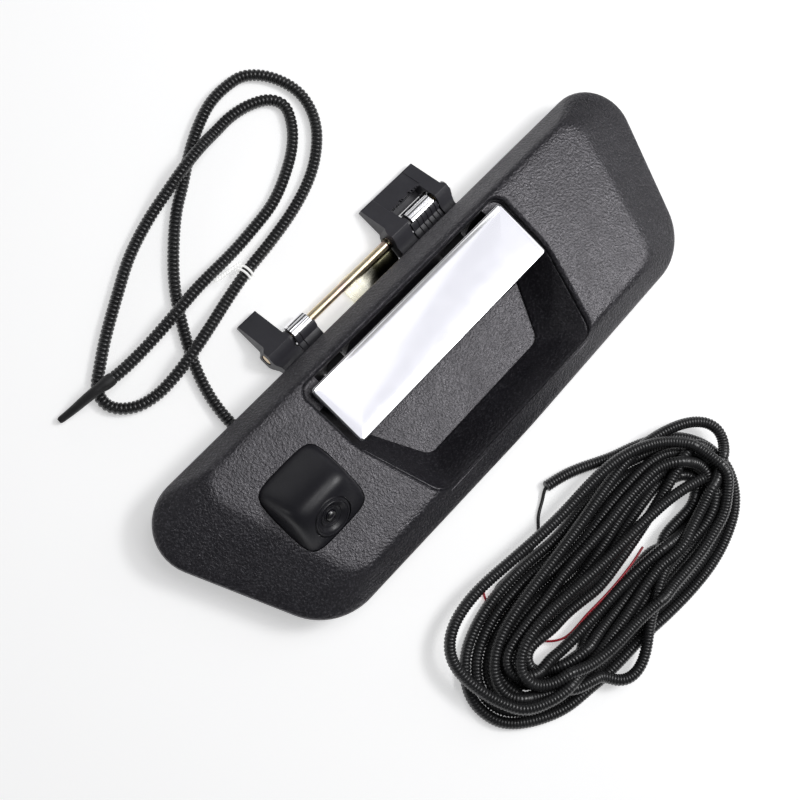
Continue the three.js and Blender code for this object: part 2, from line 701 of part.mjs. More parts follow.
// The latch lever: a sheet behind the pin, carried by a flange on the left arm and by an
// ear on the pin.
function makeLever() {
  const [x0, x1] = LEVER_X;
  const [y0, y1] = LEVER_STRIP_Y;
  const outline = [
    [LEVER_FLANGE_X, y0],
    [x1, y0],
    [x1, 66.6],
    [x0 + 11, 66.6],
    [x0 + 9, 68],
    [x0 + 2, 68],
    [x0, 67],
    [x0, y1],
    [LEVER_FLANGE_X, y1],
  ];
  const sheet = extrudeUp(outline, LEVER_Z);
  const flangeX = [LEVER_FLANGE_X, LEVER_FLANGE_X + LEVER_SHEET];
  const flange = box(flangeX, LEVER_STRIP_Y, [LEVER_Z[0], ARM_LEG_Z[1]]);
  const ear = bar("x", 4.6, [x1 - LEVER_SHEET, x1], [PIN_Y, PIN_Z], 20);
  const bore = bar("x", PIN_R + 0.2, [x1 - LEVER_SHEET - 1, x1 + 1], [PIN_Y, PIN_Z], 18);
  const rodHoles = [x0 + 5, x1 - 9].map((x) => bar("z", 2.4, [0, 5], [x, 56], 14));
  return cut(joined(sheet, flange, ear), bore, ...rodHoles, ...leverBores);
}
addPiece("latch_lever", makeLever(), yellowZinc);

LEVER_SCREWS.forEach(([y, z], i) => {
  const shape = screwShape({ head: 1.7, shank: 0.85, length: 6 }).rotateY(-Math.PI / 2);
  const x = LEVER_FLANGE_X + LEVER_SHEET + GAP;
  addPiece(`lever_screw_${i + 1}`, shape.translate(x, y, z), steel);
});

// ---------------------------------------------------------------- stops and studs
[-66, 66].forEach((x, i) => {
  const pad = bar("z", 2.5, [LEDGE_Z + GAP, PADDLE_BACK_Z - GAP], [CUP_X + x, 33.6], 14);
  addPiece(`bump_stop_${i + 1}`, pad, rubber);
});

// Each stud stands in a boss of the bezel, with its collar against the boss's end.
const COLLAR_Z = [RIM_Z - RIM_EDGE - GAP - 1.6, RIM_Z - RIM_EDGE - GAP];
MOUNT_BOSSES.forEach(([x, y], i) => {
  const profile = [
    [0, 0],
    [STUD_R - 0.6, 0],
    [STUD_R, 0.8],
    [STUD_R, COLLAR_Z[0]],
    [4.6, COLLAR_Z[0]],
    [4.6, COLLAR_Z[1]],
    [STUD_R, COLLAR_Z[1]],
    [STUD_R, STUD_TOP],
    [0, STUD_TOP],
  ].map(([r, h]) => new THREE.Vector2(r, h));
  const stud = new THREE.LatheGeometry(profile, 16).rotateX(Math.PI / 2);
  addPiece(`mount_stud_${i + 1}`, stud.translate(x, y, 0), steel);
});

// ---------------------------------------------------------------- pigtail
const vectors = (points) => points.map(([x, y, z = LOOM_R + 0.1]) => new THREE.Vector3(x, y, z));

// Out of the boot, under the bezel's upper edge, then twice round a long loop on the
// resting surface. A third number is the height where a strand climbs over another.
const PIGTAIL_ROUTE = [
  [HOOD_X, 11, 16.4],
  [HOOD_X, 16, 11.6],
  [-107.2, 25, 8.2],
  [-106.4, 38, 7.2],
  [-105.3, 50, 5.6],
  [-104.3, 61, 3.6],
  [-102.6, 71],
  [-98, 85],
  [-86.8, 106.5],
  [-72.9, 126.4],
  [-49, 149.2],
  [-34, 159.2],
  [-19.3, 169.1],
  [-4.4, 177],
  [8.5, 181.5],
  [20.4, 182.5],
  [31.3, 181],
  [40.3, 174.1],
  [46.2, 164.1],
  [48.2, 154.2],
  [46.2, 144.3],
  [40.3, 134.3],
  [28.4, 123.9],
  [15.5, 117],
  [-1.4, 111.5],
  [-21.3, 107.5, 3.7],
  [-43, 104.3, 4.8],
  [-61, 100.6, 5],
  [-79, 96, 7.8],
  [-94.6, 92.4, 9.8],
  [-109, 90.2, 7.2],
  [-121, 90, 4],
  [-131.5, 92.6],
  [-139.5, 99.2],
  [-141.4, 105.5],
  [-138.5, 112.5],
  [-130.5, 119],
  [-118.6, 127.4],
  [-100.7, 138.3],
  [-80.9, 149.4],
  [-61, 156.7, 4.2],
  [-43, 160.8, 7.8],
  [-28.5, 163.8, 9.8],
  [-14, 166.5, 7.6],
  [-1.4, 168.1, 4.4],
  [10.5, 169.1],
  [23.4, 167.1],
  [33.3, 162.2],
  [36.8, 155.2],
  [32.3, 145.3],
  [23.4, 136.3],
  [10.5, 128.4],
  [-6.4, 121.4],
  [-26.3, 118, 3.8],
  [-43, 116.2, 4.8],
  [-66, 114.9, 7.4],
  [-83, 112.8, 9.8],
  [-98, 111.2, 8.2],
  [-112, 110.2, 6.6],
  [-125.6, 109.7, 8.4],
  [-134.5, 110.2, 9.8],
];
const PIGTAIL_STEPS = 72;
addPiece("pigtail_loom", tubeAlong(vectors(PIGTAIL_ROUTE), LOOM_R, LOOM_SIDES, PIGTAIL_STEPS), loomBlack);

const SLEEVE_ROUTE = [
  [-135.3, 110.3, 9.8],
  [-141, 110.9, 9.6],
  [-147.5, 111.6, 7.2],
  [-153, 112.1, 4.7],
];
addPiece("pigtail_sleeve", tubeAlong(vectors(SLEEVE_ROUTE), 2.6, LOOM_SIDES, 4), rubber);

const PLUG_ROUTE = [
  [-153.4, 112.2, 4.5],
  [-162.8, 113.1, 2.3],
];
addPiece("pigtail_plug", tubeAlong(vectors(PLUG_ROUTE), 2, 10, 1), rubber);

// The twist tie: a band round both strands, with its twisted end lying between them.
function makeTie() {
  const band = (grow) =>
    roundCorners(
      [
        [100.2 - grow, 0.9 - grow, 2.8],
        [120.3 + grow, 0.9 - grow, 2.8],
        [120.3 + grow, 8.5 + grow, 2.8],
        [100.2 - grow, 8.5 + grow, 2.8],
      ],
      4,
    );
  const loop = cut(extrudeAlongX(band(0.8), [-43.9, -42.1]), extrudeAlongX(band(0), [-50, -40]));
  return joined(loop, bar("x", 0.7, [-59, -42.6], [110.3, 8.9], 8));
}
addPiece("pigtail_tie", makeTie(), tieWhite);

// ---------------------------------------------------------------- harness
// The coiled extension harness: its hank, the strands that stray out of it, its loom's end
// and the thin wires.
const HANK_CORNERS = [
  [-127.5, -165, 31],
  [77, -192, 34],
  [77, -105, 36],
  [-127.5, -103.5, 29],
];
addPiece("harness_hank", extrudeUp(roundCorners(HANK_CORNERS, 8), [0.05, HANK_HEIGHT]), loomBlack);

const HARNESS_STRANDS = {
  harness_tail: [
    [22.5, -100.4],
    [16, -96.4],
    [7, -91.3],
    [-2, -88.4],
    [-9.4, -87.1],
  ],
  harness_loop_left: [
    [10, -100],
    [-15, -99.8],
    [-40, -98.5],
    [-60, -95.8],
    [-80, -93],
    [-96, -94],
    [-108.5, -98.6],
    [-116.5, -105],
  ],
  harness_loop_right: [
    [71.5, -115.5],
    [79.5, -124.2],
    [84.6, -132],
    [86, -138.5],
    [83.8, -144.5],
    [80.8, -148],
  ],
  harness_loop_low: [
    [-57.5, -178.4],
    [-53, -182.2],
    [-46, -184],
    [-37, -183],
    [-28.5, -182],
  ],
};
for (const [name, route] of Object.entries(HARNESS_STRANDS)) {
  addPiece(name, tubeAlong(vectors(route), LOOM_R, LOOM_SIDES, route.length + 1), loomBlack);
}

const WIRE_ROUTES = {
  harness_wire_black: [[-9.9, -87.4, 2.2], [-16, -91, 1.1], [-23.5, -95, 1]],
  harness_wire_red: [[-72.4, -98.4, 0.9], [-74.5, -100.6, 0.8], [-76.2, -102.8, 0.9]],
};
addPiece("harness_wire_black", tubeAlong(vectors(WIRE_ROUTES.harness_wire_black), 0.75, 8, 4), loomBlack);
addPiece("harness_wire_red", tubeAlong(vectors(WIRE_ROUTES.harness_wire_red), 0.5, 8, 3), wireRed);

export default part;
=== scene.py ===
import json
import math
import random

import bpy
import numpy as np
from mathutils import Matrix, Quaternion, Vector


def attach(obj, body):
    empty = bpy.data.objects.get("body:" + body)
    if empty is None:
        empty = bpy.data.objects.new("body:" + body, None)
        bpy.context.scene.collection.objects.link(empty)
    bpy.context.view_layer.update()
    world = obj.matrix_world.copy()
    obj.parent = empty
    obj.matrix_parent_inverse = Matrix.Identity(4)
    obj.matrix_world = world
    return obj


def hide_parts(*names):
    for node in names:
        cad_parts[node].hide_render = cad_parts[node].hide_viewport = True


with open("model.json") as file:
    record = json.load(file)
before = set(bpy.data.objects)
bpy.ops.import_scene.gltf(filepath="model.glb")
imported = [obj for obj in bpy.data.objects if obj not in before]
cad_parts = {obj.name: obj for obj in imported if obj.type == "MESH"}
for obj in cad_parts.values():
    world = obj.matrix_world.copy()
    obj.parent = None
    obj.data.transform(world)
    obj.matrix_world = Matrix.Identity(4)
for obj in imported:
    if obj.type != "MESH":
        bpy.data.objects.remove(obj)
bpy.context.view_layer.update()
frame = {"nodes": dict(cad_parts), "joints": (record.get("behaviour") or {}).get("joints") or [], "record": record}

# All shapes are written in millimetres on the drawing's axes: z is up from the resting
# surface, y runs to the hinge, and the drawing's zero is SHIFT_Y below the frame's.
MM = 0.001
PIN_Y = 64.7
PIN_Z = 7.0
SHIFT_Y = PIN_Y - frame["joints"][0]["pos_m"][1] / MM
RIM_Z = 20.0
FACE_Z = 30.5


def to_frame(points):
    """Millimetres on the drawing's axes to metres in the frame."""
    p = np.array(points, float).reshape(-1, 3)
    return (p - (0, SHIFT_Y, 0)) * MM


def at(x, y, z):
    return Vector(to_frame([(x, y, z)])[0])


# ------------------------------------------------------------------ camera
def place_camera():
    yaw, pitch, roll = math.radians(17.4), math.radians(3.95), math.radians(-44.85)
    distance, to_left, down = 569, 27.5, 24.5
    half_view, half_sensor = math.radians(20), 18
    away = Vector(
        (-math.sin(yaw) * math.cos(pitch), math.sin(pitch), math.cos(yaw) * math.cos(pitch))
    )
    level = (-away).cross(Vector((0, 1, 0))).normalized()
    upright = level.cross(-away)
    right = level * math.cos(roll) + upright * math.sin(roll)
    up = -level * math.sin(roll) + upright * math.cos(roll)
    spot = Vector((0, 0, RIM_Z)) + away * distance - right * to_left - up * down
    data = bpy.data.cameras.new("camera")
    data.sensor_width = 2 * half_sensor
    data.lens = half_sensor / math.tan(half_view)
    data.clip_start, data.clip_end = 0.01, 20
    camera = bpy.data.objects.new("camera", data)
    bpy.context.scene.collection.objects.link(camera)
    turn = Matrix((right, up, away)).transposed()
    camera.matrix_world = Matrix.Translation(at(*spot)) @ turn.to_4x4()
    bpy.context.scene.camera = camera


place_camera()


# ------------------------------------------------------------------ materials
NOISE_SPAN = (0.3, 0.7)  # where most of a noise's values lie


def noise(tree, coords, scale, detail, rough=0.5):
    node = tree.nodes.new("ShaderNodeTexNoise")
    node.inputs["Scale"].default_value = scale
    node.inputs["Detail"].default_value = detail
    node.inputs["Roughness"].default_value = rough
    tree.links.new(coords, node.inputs["Vector"])
    return node.outputs["Fac"]


def ramp(tree, factor, low, high):
    node = tree.nodes.new("ShaderNodeValToRGB")
    first, last = node.color_ramp.elements
    first.position, last.position = NOISE_SPAN
    first.color, last.color = low, high
    tree.links.new(factor, node.inputs["Fac"])
    return node.outputs["Color"]


def spread_value(tree, factor, low, high, ends=NOISE_SPAN):
    node = tree.nodes.new("ShaderNodeMapRange")
    node.inputs["From Min"].default_value, node.inputs["From Max"].default_value = ends
    node.inputs["To Min"].default_value, node.inputs["To Max"].default_value = low, high
    tree.links.new(factor, node.inputs["Value"])
    return node.outputs["Result"]


def mixed(tree, colour, other, share):
    """The colour, turned to the fixed colour other as far as share says."""
    colour_a, colour_b, result = 6, 7, 2  # the node's sockets for colours
    node = tree.nodes.new("ShaderNodeMix")
    node.data_type = "RGBA"
    tree.links.new(share, node.inputs["Factor"])
    tree.links.new(colour, node.inputs[colour_a])
    node.inputs[colour_b].default_value = (*other, 1)
    return node.outputs[result]


def bump(tree, height, distance, below):
    node = tree.nodes.new("ShaderNodeBump")
    node.inputs["Strength"].default_value = 1
    node.inputs["Distance"].default_value = distance
    tree.links.new(height, node.inputs["Height"])
    if below is not None:
        tree.links.new(below, node.inputs["Normal"])
    return node.outputs["Normal"]


def surface(
    name, colours, rough, metallic=0.0, tint_scale=60, grain=(), speckle=None, fade=None, **sockets
):
    """A shader whose colour and roughness vary between two values each, over bumps of
    (scale, distance, detail) in grain. speckle is (scale, brightest colour, noise values where
    it starts and is full), and fade is (from x, to x, colour), a painted shade: the darker colour that it turns to
    along x."""
    made = bpy.data.materials.new(name)
    made.use_nodes = True
    tree = made.node_tree
    shader = tree.nodes["Principled BSDF"]
    coords = tree.nodes.new("ShaderNodeTexCoord").outputs["Object"]
    tint = ramp(tree, noise(tree, coords, tint_scale, 4), (*colours[0], 1), (*colours[1], 1))
    if speckle:
        scale, bright, ends = speckle
        dots = noise(tree, coords, scale, 3, 0.7)
        tint = mixed(tree, tint, bright, spread_value(tree, dots, 0, 1, ends))
    if fade:
        start, end, last = fade
        split = tree.nodes.new("ShaderNodeSeparateXYZ")
        tree.links.new(coords, split.inputs[0])
        tint = mixed(tree, tint, last, spread_value(tree, split.outputs[0], 0, 1, (start, end)))
    tree.links.new(tint, shader.inputs["Base Color"])
    wear = noise(tree, coords, 90, 5, 0.6)
    tree.links.new(spread_value(tree, wear, *rough), shader.inputs["Roughness"])
    normal = None
    for scale, distance, detail in grain:
        normal = bump(tree, noise(tree, coords, scale, detail, 0.6), distance, normal)
    if normal is not None:
        tree.links.new(normal, shader.inputs["Normal"])
    shader.inputs["Metallic"].default_value = metallic
    for socket, value in sockets.items():
        shader.inputs[socket.replace("_", " ").title().replace("Ior", "IOR")].default_value = value
    return made


# The bezel's bump grain is real, but its light colour specks are painted glints that stand for the grain's
# specular highlights.
grained = surface(
    "bezel_plastic_look", [(0.009, 0.0085, 0.0115), (0.014, 0.0132, 0.0172)], (0.3, 0.42),
    grain=[(800, 0.00046, 2)], speckle=(900, (0.066, 0.065, 0.074), (0.52, 0.66)),
    specular_ior_level=0.92, specular_tint=(0.98, 0.95, 1, 1),
)
satin = surface(
    "hood_plastic_look", [(0.014, 0.0137, 0.018), (0.019, 0.0184, 0.0235)], (0.3, 0.4),
    grain=[(2600, 0.000025, 2), (260, 0.00003, 2)],
)
nylon = surface(
    "block_nylon_look", [(0.041, 0.04, 0.048), (0.054, 0.053, 0.062)], (0.36, 0.5),
    grain=[(1500, 0.00004, 3), (240, 0.00005, 2)],
)
loom_look = surface(
    "loom_plastic_look", [(0.012, 0.012, 0.013), (0.022, 0.022, 0.023)], (0.26, 0.4), tint_scale=35,
    grain=[(700, 0.00003, 2)], specular_ior_level=0.8,
)
rubber_look = surface(
    "rubber_look", [(0.014, 0.014, 0.015), (0.024, 0.024, 0.025)], (0.5, 0.7),
    grain=[(1800, 0.00004, 3)],
)
chrome = surface(
    "chrome_look", [(0.86, 0.86, 0.89), (0.93, 0.93, 0.94)], (0.07, 0.1), metallic=1, tint_scale=9,
)
steel = surface(
    "steel_look", [(0.42, 0.43, 0.44), (0.6, 0.61, 0.62)], (0.2, 0.38), metallic=1,
    grain=[(1400, 0.00002, 3)],
)
zinc = surface(
    "yellow_zinc_look", [(0.8, 0.66, 0.42), (0.88, 0.76, 0.54)], (0.3, 0.42), metallic=1,
    tint_scale=180, speckle=(60, (0.88, 0.62, 0.6), (0.5, 0.85)), grain=[(600, 0.00002, 3)],
)
# The lever sheet turns dark along x towards its folded right part: painted shade where it runs under the pin.
zinc_sheet = surface(
    "zinc_sheet_look", [(0.86, 0.82, 0.64), (0.95, 0.93, 0.8)], (0.2, 0.34), metallic=1,
    tint_scale=120, grain=[(600, 0.00002, 3)], fade=(-0.005, 0.008, (0.05, 0.048, 0.03)),
)
iris_look = surface("iris_look", [(0.1, 0.1, 0.1), (0.2, 0.2, 0.2)], (0.25, 0.4), metallic=1)
glass_look = surface(
    "lens_glass_look", [(0.004, 0.004, 0.008), (0.012, 0.008, 0.016)], (0.01, 0.04),
    coat_weight=1.0, coat_roughness=0.01,
)
board_look = surface("board_look", [(0.01, 0.09, 0.04), (0.02, 0.14, 0.07)], (0.3, 0.5))
wire_black = surface(
    "wire_black_look", [(0.01, 0.01, 0.01), (0.018, 0.018, 0.018)], (0.25, 0.4),
    grain=[(900, 0.00002, 2)],
)
wire_red = surface(
    "wire_red_look", [(0.35, 0.008, 0.02), (0.5, 0.012, 0.03)], (0.25, 0.4),
    grain=[(900, 0.00002, 2)],
)
# The tie glows a little (emission 0.4): painted light that keeps it as white as the lit floor.
tie_white = surface(
    "tie_white_look", [(0.88, 0.88, 0.87), (0.96, 0.96, 0.95)], (0.3, 0.5),
    grain=[(900, 0.00003, 2)], emission_color=(1, 1, 0.98, 1), emission_strength=0.4,
)


# ------------------------------------------------------------------ mesh tools
def made_object(name, points, faces, look, sharp=40.0):
    mesh = bpy.data.meshes.new(name)
    mesh.from_pydata([tuple(p) for p in to_frame(points)], [], faces)
    return finished(name, mesh, look, sharp)


def finished(name, mesh, look, sharp):
    """A smooth object whose edges sharper than the angle stay sharp."""
    mesh.polygons.foreach_set("use_smooth", [True] * len(mesh.polygons))
    mesh.set_sharp_from_angle(angle=math.radians(sharp))
    mesh.materials.clear()
    mesh.materials.append(look)
    made = bpy.data.objects.new(name, mesh)
    bpy.context.scene.collection.objects.link(made)
    return made


def round_corners(corners, steps):
    """An outline given anticlockwise as [x, y, radius], each corner a true arc."""
    points = []
    count = len(corners)
    for i, (x, y, radius) in enumerate(corners):
        corner = np.array([x, y], float)
        back = np.array(corners[i - 1][:2], float) - corner
        ahead = np.array(corners[(i + 1) % count][:2], float) - corner
        back /= np.linalg.norm(back)
        ahead /= np.linalg.norm(ahead)
        half = math.acos(max(-1, min(1, float(back @ ahead)))) / 2
        inward = (back + ahead) / np.linalg.norm(back + ahead)
        centre = corner + inward * radius / math.sin(half)
        start = corner + back * radius / math.tan(half) - centre
        sweep = math.pi - 2 * half
        for k in range(steps + 1):
            c, s = math.cos(sweep * k / steps), math.sin(sweep * k / steps)
            points.append(centre + (start[0] * c - start[1] * s, start[0] * s + start[1] * c))
    return np.array(points)


def loft(rings, closed=False):
    """Joins rings of equally many 3-D points, and caps both ends or, if closed, joins the
    last ring to the first. Returns points and faces."""
    count = len(rings[0])
    points = np.concatenate(rings)
    faces = []
    last = len(rings) - (0 if closed else 1)
    for r in range(last):
        a = r * count
        b = (r + 1) % len(rings) * count
        for i in range(count):
            j = (i + 1) % count
            faces.append((a + i, a + j, b + j, b + i))
    if not closed:
        faces.append(tuple(reversed(range(count))))
        faces.append(tuple(range((len(rings) - 1) * count, len(rings) * count)))
    return points, faces


def level(outline, z):
    """A flat outline as a ring at a height."""
    return np.column_stack([outline, np.full(len(outline), float(z))])


def solid(rings):
    return working(*loft(rings))


def working(points, faces):
    """A mesh object to cut and join, which release later moves into the frame."""
    mesh = bpy.data.meshes.new("work")
    mesh.from_pydata([tuple(p) for p in np.array(points) * MM], [], faces)
    made = bpy.data.objects.new("work", mesh)
    bpy.context.scene.collection.objects.link(made)
    return made


def block(x, y, z):
    outline = [(x[0], y[0]), (x[1], y[0]), (x[1], y[1]), (x[0], y[1])]
    return solid([level(outline, z[0]), level(outline, z[1])])


def circle(radius, sides):
    a = np.arange(sides) * 2 * math.pi / sides
    return np.column_stack([radius * np.cos(a), radius * np.sin(a)])


def rod_z(radius, z, spot, sides=32):
    outline = circle(radius, sides) + spot
    return solid([level(outline, z[0]), level(outline, z[1])])


def turned_on_pin(profile, sides):
    """Points and faces turned about the hinge's axis, from [x, radius] points in order of x."""
    ring = circle(1, sides)
    return loft(
        [
            np.column_stack([np.full(sides, x), PIN_Y + r * ring[:, 0], PIN_Z + r * ring[:, 1]])
            for x, r in profile
        ]
    )


def rod_on_pin(radius, x):
    return working(*turned_on_pin([(x[0], radius), (x[1], radius)], 40))


def extruded_x(profile, x):
    """A profile of [y, z] points, anticlockwise seen from +X, between two places on X."""
    return solid([np.array([(v, a, b) for a, b in profile], float) for v in x])


def apply_modifier(base):
    graph = bpy.context.evaluated_depsgraph_get()
    mesh = bpy.data.meshes.new_from_object(base.evaluated_get(graph))
    base.modifiers.clear()
    old = base.data
    base.data = mesh
    bpy.data.meshes.remove(old)


def combine(base, tools, how):
    """Applies a boolean with each tool in turn, and removes the tools."""
    for tool in tools:
        change = base.modifiers.new("cut", "BOOLEAN")
        change.operation = how
        change.solver = "MANIFOLD"
        change.object = tool
        apply_modifier(base)
        bpy.data.objects.remove(tool)
    return base


def bevelled(base, width, segments, angle=35):
    """Rounds the edges of a working object that are sharper than angle."""
    change = base.modifiers.new("round", "BEVEL")
    change.width = width * MM
    change.segments = segments
    change.limit_method = "ANGLE"
    change.angle_limit = math.radians(angle)
    change.use_clamp_overlap = True
    apply_modifier(base)
    return base


def release(base, name, look, sharp=40.0, weighted=False):
    """Turns a working object into a finished piece in the frame's place."""
    mesh = base.data
    mesh.transform(Matrix.Translation((0, -SHIFT_Y * MM, 0)))
    bpy.data.objects.remove(base)
    made = finished(name, mesh, look, sharp)
    if weighted:
        change = made.modifiers.new("normals", "WEIGHTED_NORMAL")
        change.keep_sharp = True
        change.weight = 100
    return made


def piece(made, body, slot, *nodes):
    """Puts a finished object on its body, in place of the CAD nodes that it replaces."""
    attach(made, body)
    if nodes:
        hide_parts(*nodes)


# ------------------------------------------------------------------ cords
def smooth_line(points, step):
    """A centripetal Catmull-Rom curve through points, resampled every step."""
    p = np.array(points, float)
    p = np.vstack([2 * p[0] - p[1], p, 2 * p[-1] - p[-2]])
    fine = []
    for a, b, c, d in zip(p, p[1:], p[2:], p[3:]):
        t1 = np.linalg.norm(b - a) ** 0.5
        t2 = t1 + np.linalg.norm(c - b) ** 0.5
        t3 = t2 + np.linalg.norm(d - c) ** 0.5
        for t in np.linspace(t1, t2, 12, endpoint=False):
            q1 = a + (b - a) * t / t1
            q2 = b + (c - b) * (t - t1) / (t2 - t1)
            q3 = c + (d - c) * (t - t2) / (t3 - t2)
            r1 = q1 + (q2 - q1) * t / t2
            r2 = q2 + (q3 - q2) * (t - t1) / (t3 - t1)
            fine.append(r1 + (r2 - r1) * (t - t1) / (t2 - t1))
    fine.append(p[-2])
    return even(np.array(fine), step)


def even(line, step):
    """The line again with its points about a step apart."""
    run = np.concatenate([[0], np.cumsum(np.linalg.norm(np.diff(line, axis=0), axis=1))])
    count = max(int(round(run[-1] / step)), 2)
    where = np.linspace(0, run[-1], count + 1)
    return np.column_stack([np.interp(where, run, line[:, k]) for k in range(3)])


def frames_along(line):
    """Two unit vectors across the line at each point, with as little twist as can be."""
    ahead = np.gradient(line, axis=0)
    ahead /= np.linalg.norm(ahead, axis=1)[:, None]
    side = np.cross(ahead[0], (0, 0, 1.0))
    if np.linalg.norm(side) < 0.1:
        side = np.cross(ahead[0], (1.0, 0, 0))
    sides = []
    for d in ahead:
        side = side - d * (side @ d)
        side = side / np.linalg.norm(side)
        sides.append(side)
    sides = np.array(sides)
    return sides, np.cross(ahead, sides)


def tube_mesh(line, radii, sides):
    """A tube along a line, of one radius or of a radius for each of its points."""
    radii = np.broadcast_to(radii, len(line))
    u, v = frames_along(line)
    across, upward = circle(1, sides).T
    return loft(
        [
            c + r * (np.outer(across, p) + np.outer(upward, q))
            for c, r, p, q in zip(line, radii, u, v)
        ]
    )


def tube(name, line, radii, look, sides=12):
    return made_object(name, *tube_mesh(line, radii, sides), look, sharp=60)


LOOM_R = 3.1
LOOM_VALLEY_R = 2.42
COARSE_RIB = (2.25, [(0.0, LOOM_VALLEY_R), (0.2, LOOM_R - 0.07), (0.45, LOOM_R), (0.7, LOOM_R - 0.07)])
FINE_RIB = (1.72, [(0.0, LOOM_VALLEY_R + 0.25), (0.28, LOOM_R), (0.7, LOOM_R)])


def loom(name, route_line, rib, sides):
    """A corrugated tube and its path. rib is its pitch, and the radii along one valley and
    ridge as (share of the pitch, radius)."""
    pitch, steps = rib
    base = even(route_line, pitch)
    run = np.arange(len(base), dtype=float)
    shares, radii = [], []
    for k in range(len(base) - 1):
        for share, radius in steps:
            shares.append(k + share)
            radii.append(radius)
    line = np.column_stack([np.interp(shares, run, base[:, k]) for k in range(3)])
    return tube(name, line, radii, loom_look, sides), line


FLAT = LOOM_R + 0.1
HOOD_X = -107.5
# The camera's pigtail: out of the boot, under the bezel's upper edge, then twice round a
# long loop on the resting surface. A point without a height lies on that surface.
PIGTAIL_ROUTE = [
    (HOOD_X, 11, 16.4), (HOOD_X, 16, 11.6), (-107.2, 25, 8.2), (-106.4, 38, 7.2),
    (-105.3, 50, 5.6), (-104.3, 61, 3.6), (-102.6, 71), (-98, 85), (-86.8, 106.5),
    (-72.9, 126.4), (-49, 149.2), (-34, 159.2), (-19.3, 169.1), (-4.4, 177),
    (8.5, 181.5), (20.4, 182.5), (31.3, 181), (40.3, 174.1), (46.2, 164.1),
    (48.2, 154.2), (46.2, 144.3), (40.3, 134.3), (28.4, 123.9), (15.5, 117),
    (-1.4, 111.5), (-21.3, 107.5, 3.7), (-43, 104.3, 4.8), (-61, 100.6, 5),
    (-79, 96, 7.8), (-94.6, 92.4, 9.8), (-109, 90.2, 7.2), (-121, 90, 4),
    (-131.5, 92.6), (-139.5, 99.2), (-141.4, 105.5), (-138.5, 112.5), (-130.5, 119),
    (-118.6, 127.4), (-100.7, 138.3), (-80.9, 149.4), (-61, 156.7, 4.2),
    (-43, 160.8, 7.8), (-28.5, 163.8, 9.8), (-14, 166.5, 7.6), (-1.4, 168.1, 4.4),
    (10.5, 169.1), (23.4, 167.1), (33.3, 162.2), (36.8, 155.2), (32.3, 145.3),
    (23.4, 136.3), (10.5, 128.4), (-6.4, 121.4), (-26.3, 118, 3.8), (-43, 116.2, 4.8),
    (-66, 114.9, 7.4), (-83, 112.8, 9.8), (-98, 111.2, 8.2), (-112, 110.2, 6.6),
    (-125.6, 109.7, 8.4), (-134.5, 110.2, 9.8),
]


def lying(route):
    return [(*p, FLAT) if len(p) == 2 else p for p in route]


pigtail_line = smooth_line(lying(PIGTAIL_ROUTE), 1.0)
pigtail, pigtail_path = loom("pigtail", pigtail_line, COARSE_RIB, 12)

SLEEVE_ROUTE = [
    (-131.5, 110.0, 9.3), (-134.5, 110.2, 9.8), (-141, 110.9, 9.6), (-147.5, 111.6, 7.2),
    (-153, 112.1, 4.7), (-158, 112.6, 3.2), (-162.6, 113.1, 2.4),
]
sleeve_line = smooth_line(SLEEVE_ROUTE, 0.8)
SLEEVE_SHAPE = [
    (0, 3.2), (0.02, 3.32), (0.12, 3.3), (0.22, 2.75), (0.6, 2.35), (0.86, 1.95), (0.97, 1.8), (1, 1.3),
]
sleeve_radii = np.interp(np.linspace(0, 1, len(sleeve_line)), *zip(*SLEEVE_SHAPE))
sleeve = tube("pigtail_end_sleeve", sleeve_line, sleeve_radii, rubber_look, 20)


def twist_tie():
    """Two turns of flat white tie round the strands, and its twisted ends between them."""
    parts = []
    loop_y, loop_z, loop_r, loop_rise = 104.1, 4.75, 3.9, 3.75
    for start_x, sway in [(-43.4, 0.6), (-46.4, 1.44)]:
        line = []
        for share in np.arange(41) / 40:
            a = 2 * math.pi * share
            x = start_x + sway * math.sin(math.pi * share)
            line.append((x, loop_y + loop_r * math.cos(a), loop_z + loop_rise * math.sin(a)))
        parts.append(tube_mesh(even(np.array(line), 0.6), 0.62, 8))
    twists, apart, length = 5, 0.55, 16.5
    for phase in (0, math.pi):
        line = []
        for share in np.arange(60) / 59:
            a = phase + share * twists * 2 * math.pi
            y = 109.3 + 1.6 * share + apart * math.cos(a)
            z = 7.6 + 0.7 * share + apart * math.sin(a)
            line.append((-43.5 - length * share, y, z))
        parts.append(tube_mesh(even(np.array(line), 0.5), 0.55, 8))
    faces, base = [], 0
    for points, part_faces in parts:
        faces += [tuple(i + base for i in face) for face in part_faces]
        base += len(points)
    return made_object("pigtail_twist_tie", np.concatenate([p for p, _ in parts]), faces, tie_white)


tie = twist_tie()

# ------------------------------------------------------------------ harness
# One turn of the hank at its outside and at its inside, clockwise from the middle of the
# upper side. A turn in between is a share of the way from one to the other.
OUTER_TURN = [
    (-30, -109), (0, -107), (28, -108), (50, -116), (65, -128), (73, -143), (73.5, -158),
    (66, -171), (46, -180.5), (20, -183.5), (-10, -180), (-40, -175.5), (-70, -171.5),
    (-96, -164.5), (-114, -152), (-121, -138), (-116.5, -123), (-101, -111.5),
    (-80, -107.5), (-55, -107.5),
]
INNER_TURN = [
    (-30, -137), (0, -132.5), (25, -130.5), (42, -131.5), (54, -136), (60, -144), (57, -152.5),
    (46, -156.5), (28, -157), (8, -156.5), (-15, -157.5), (-35, -158.5), (-54, -159),
    (-69, -158), (-82, -154.5), (-89, -147.5), (-85.5, -139.5), (-74, -136), (-58, -136),
    (-45, -136.5),
]


def turn_at(share, upper=0.0, lower=0.0, side=0.0):
    """One turn, shifted along y on its upper and lower sides and along x at its ends."""
    out = []
    for (x0, y0), (x1, y1) in zip(OUTER_TURN, INNER_TURN):
        x = x0 + (x1 - x0) * share
        y = y0 + (y1 - y0) * share
        top = 0.5 + 0.5 * math.tanh((y + 144) / 8)
        out.append((x + side * math.tanh((x + 20) / 50), y + upper * top + lower * (1 - top)))
    return out


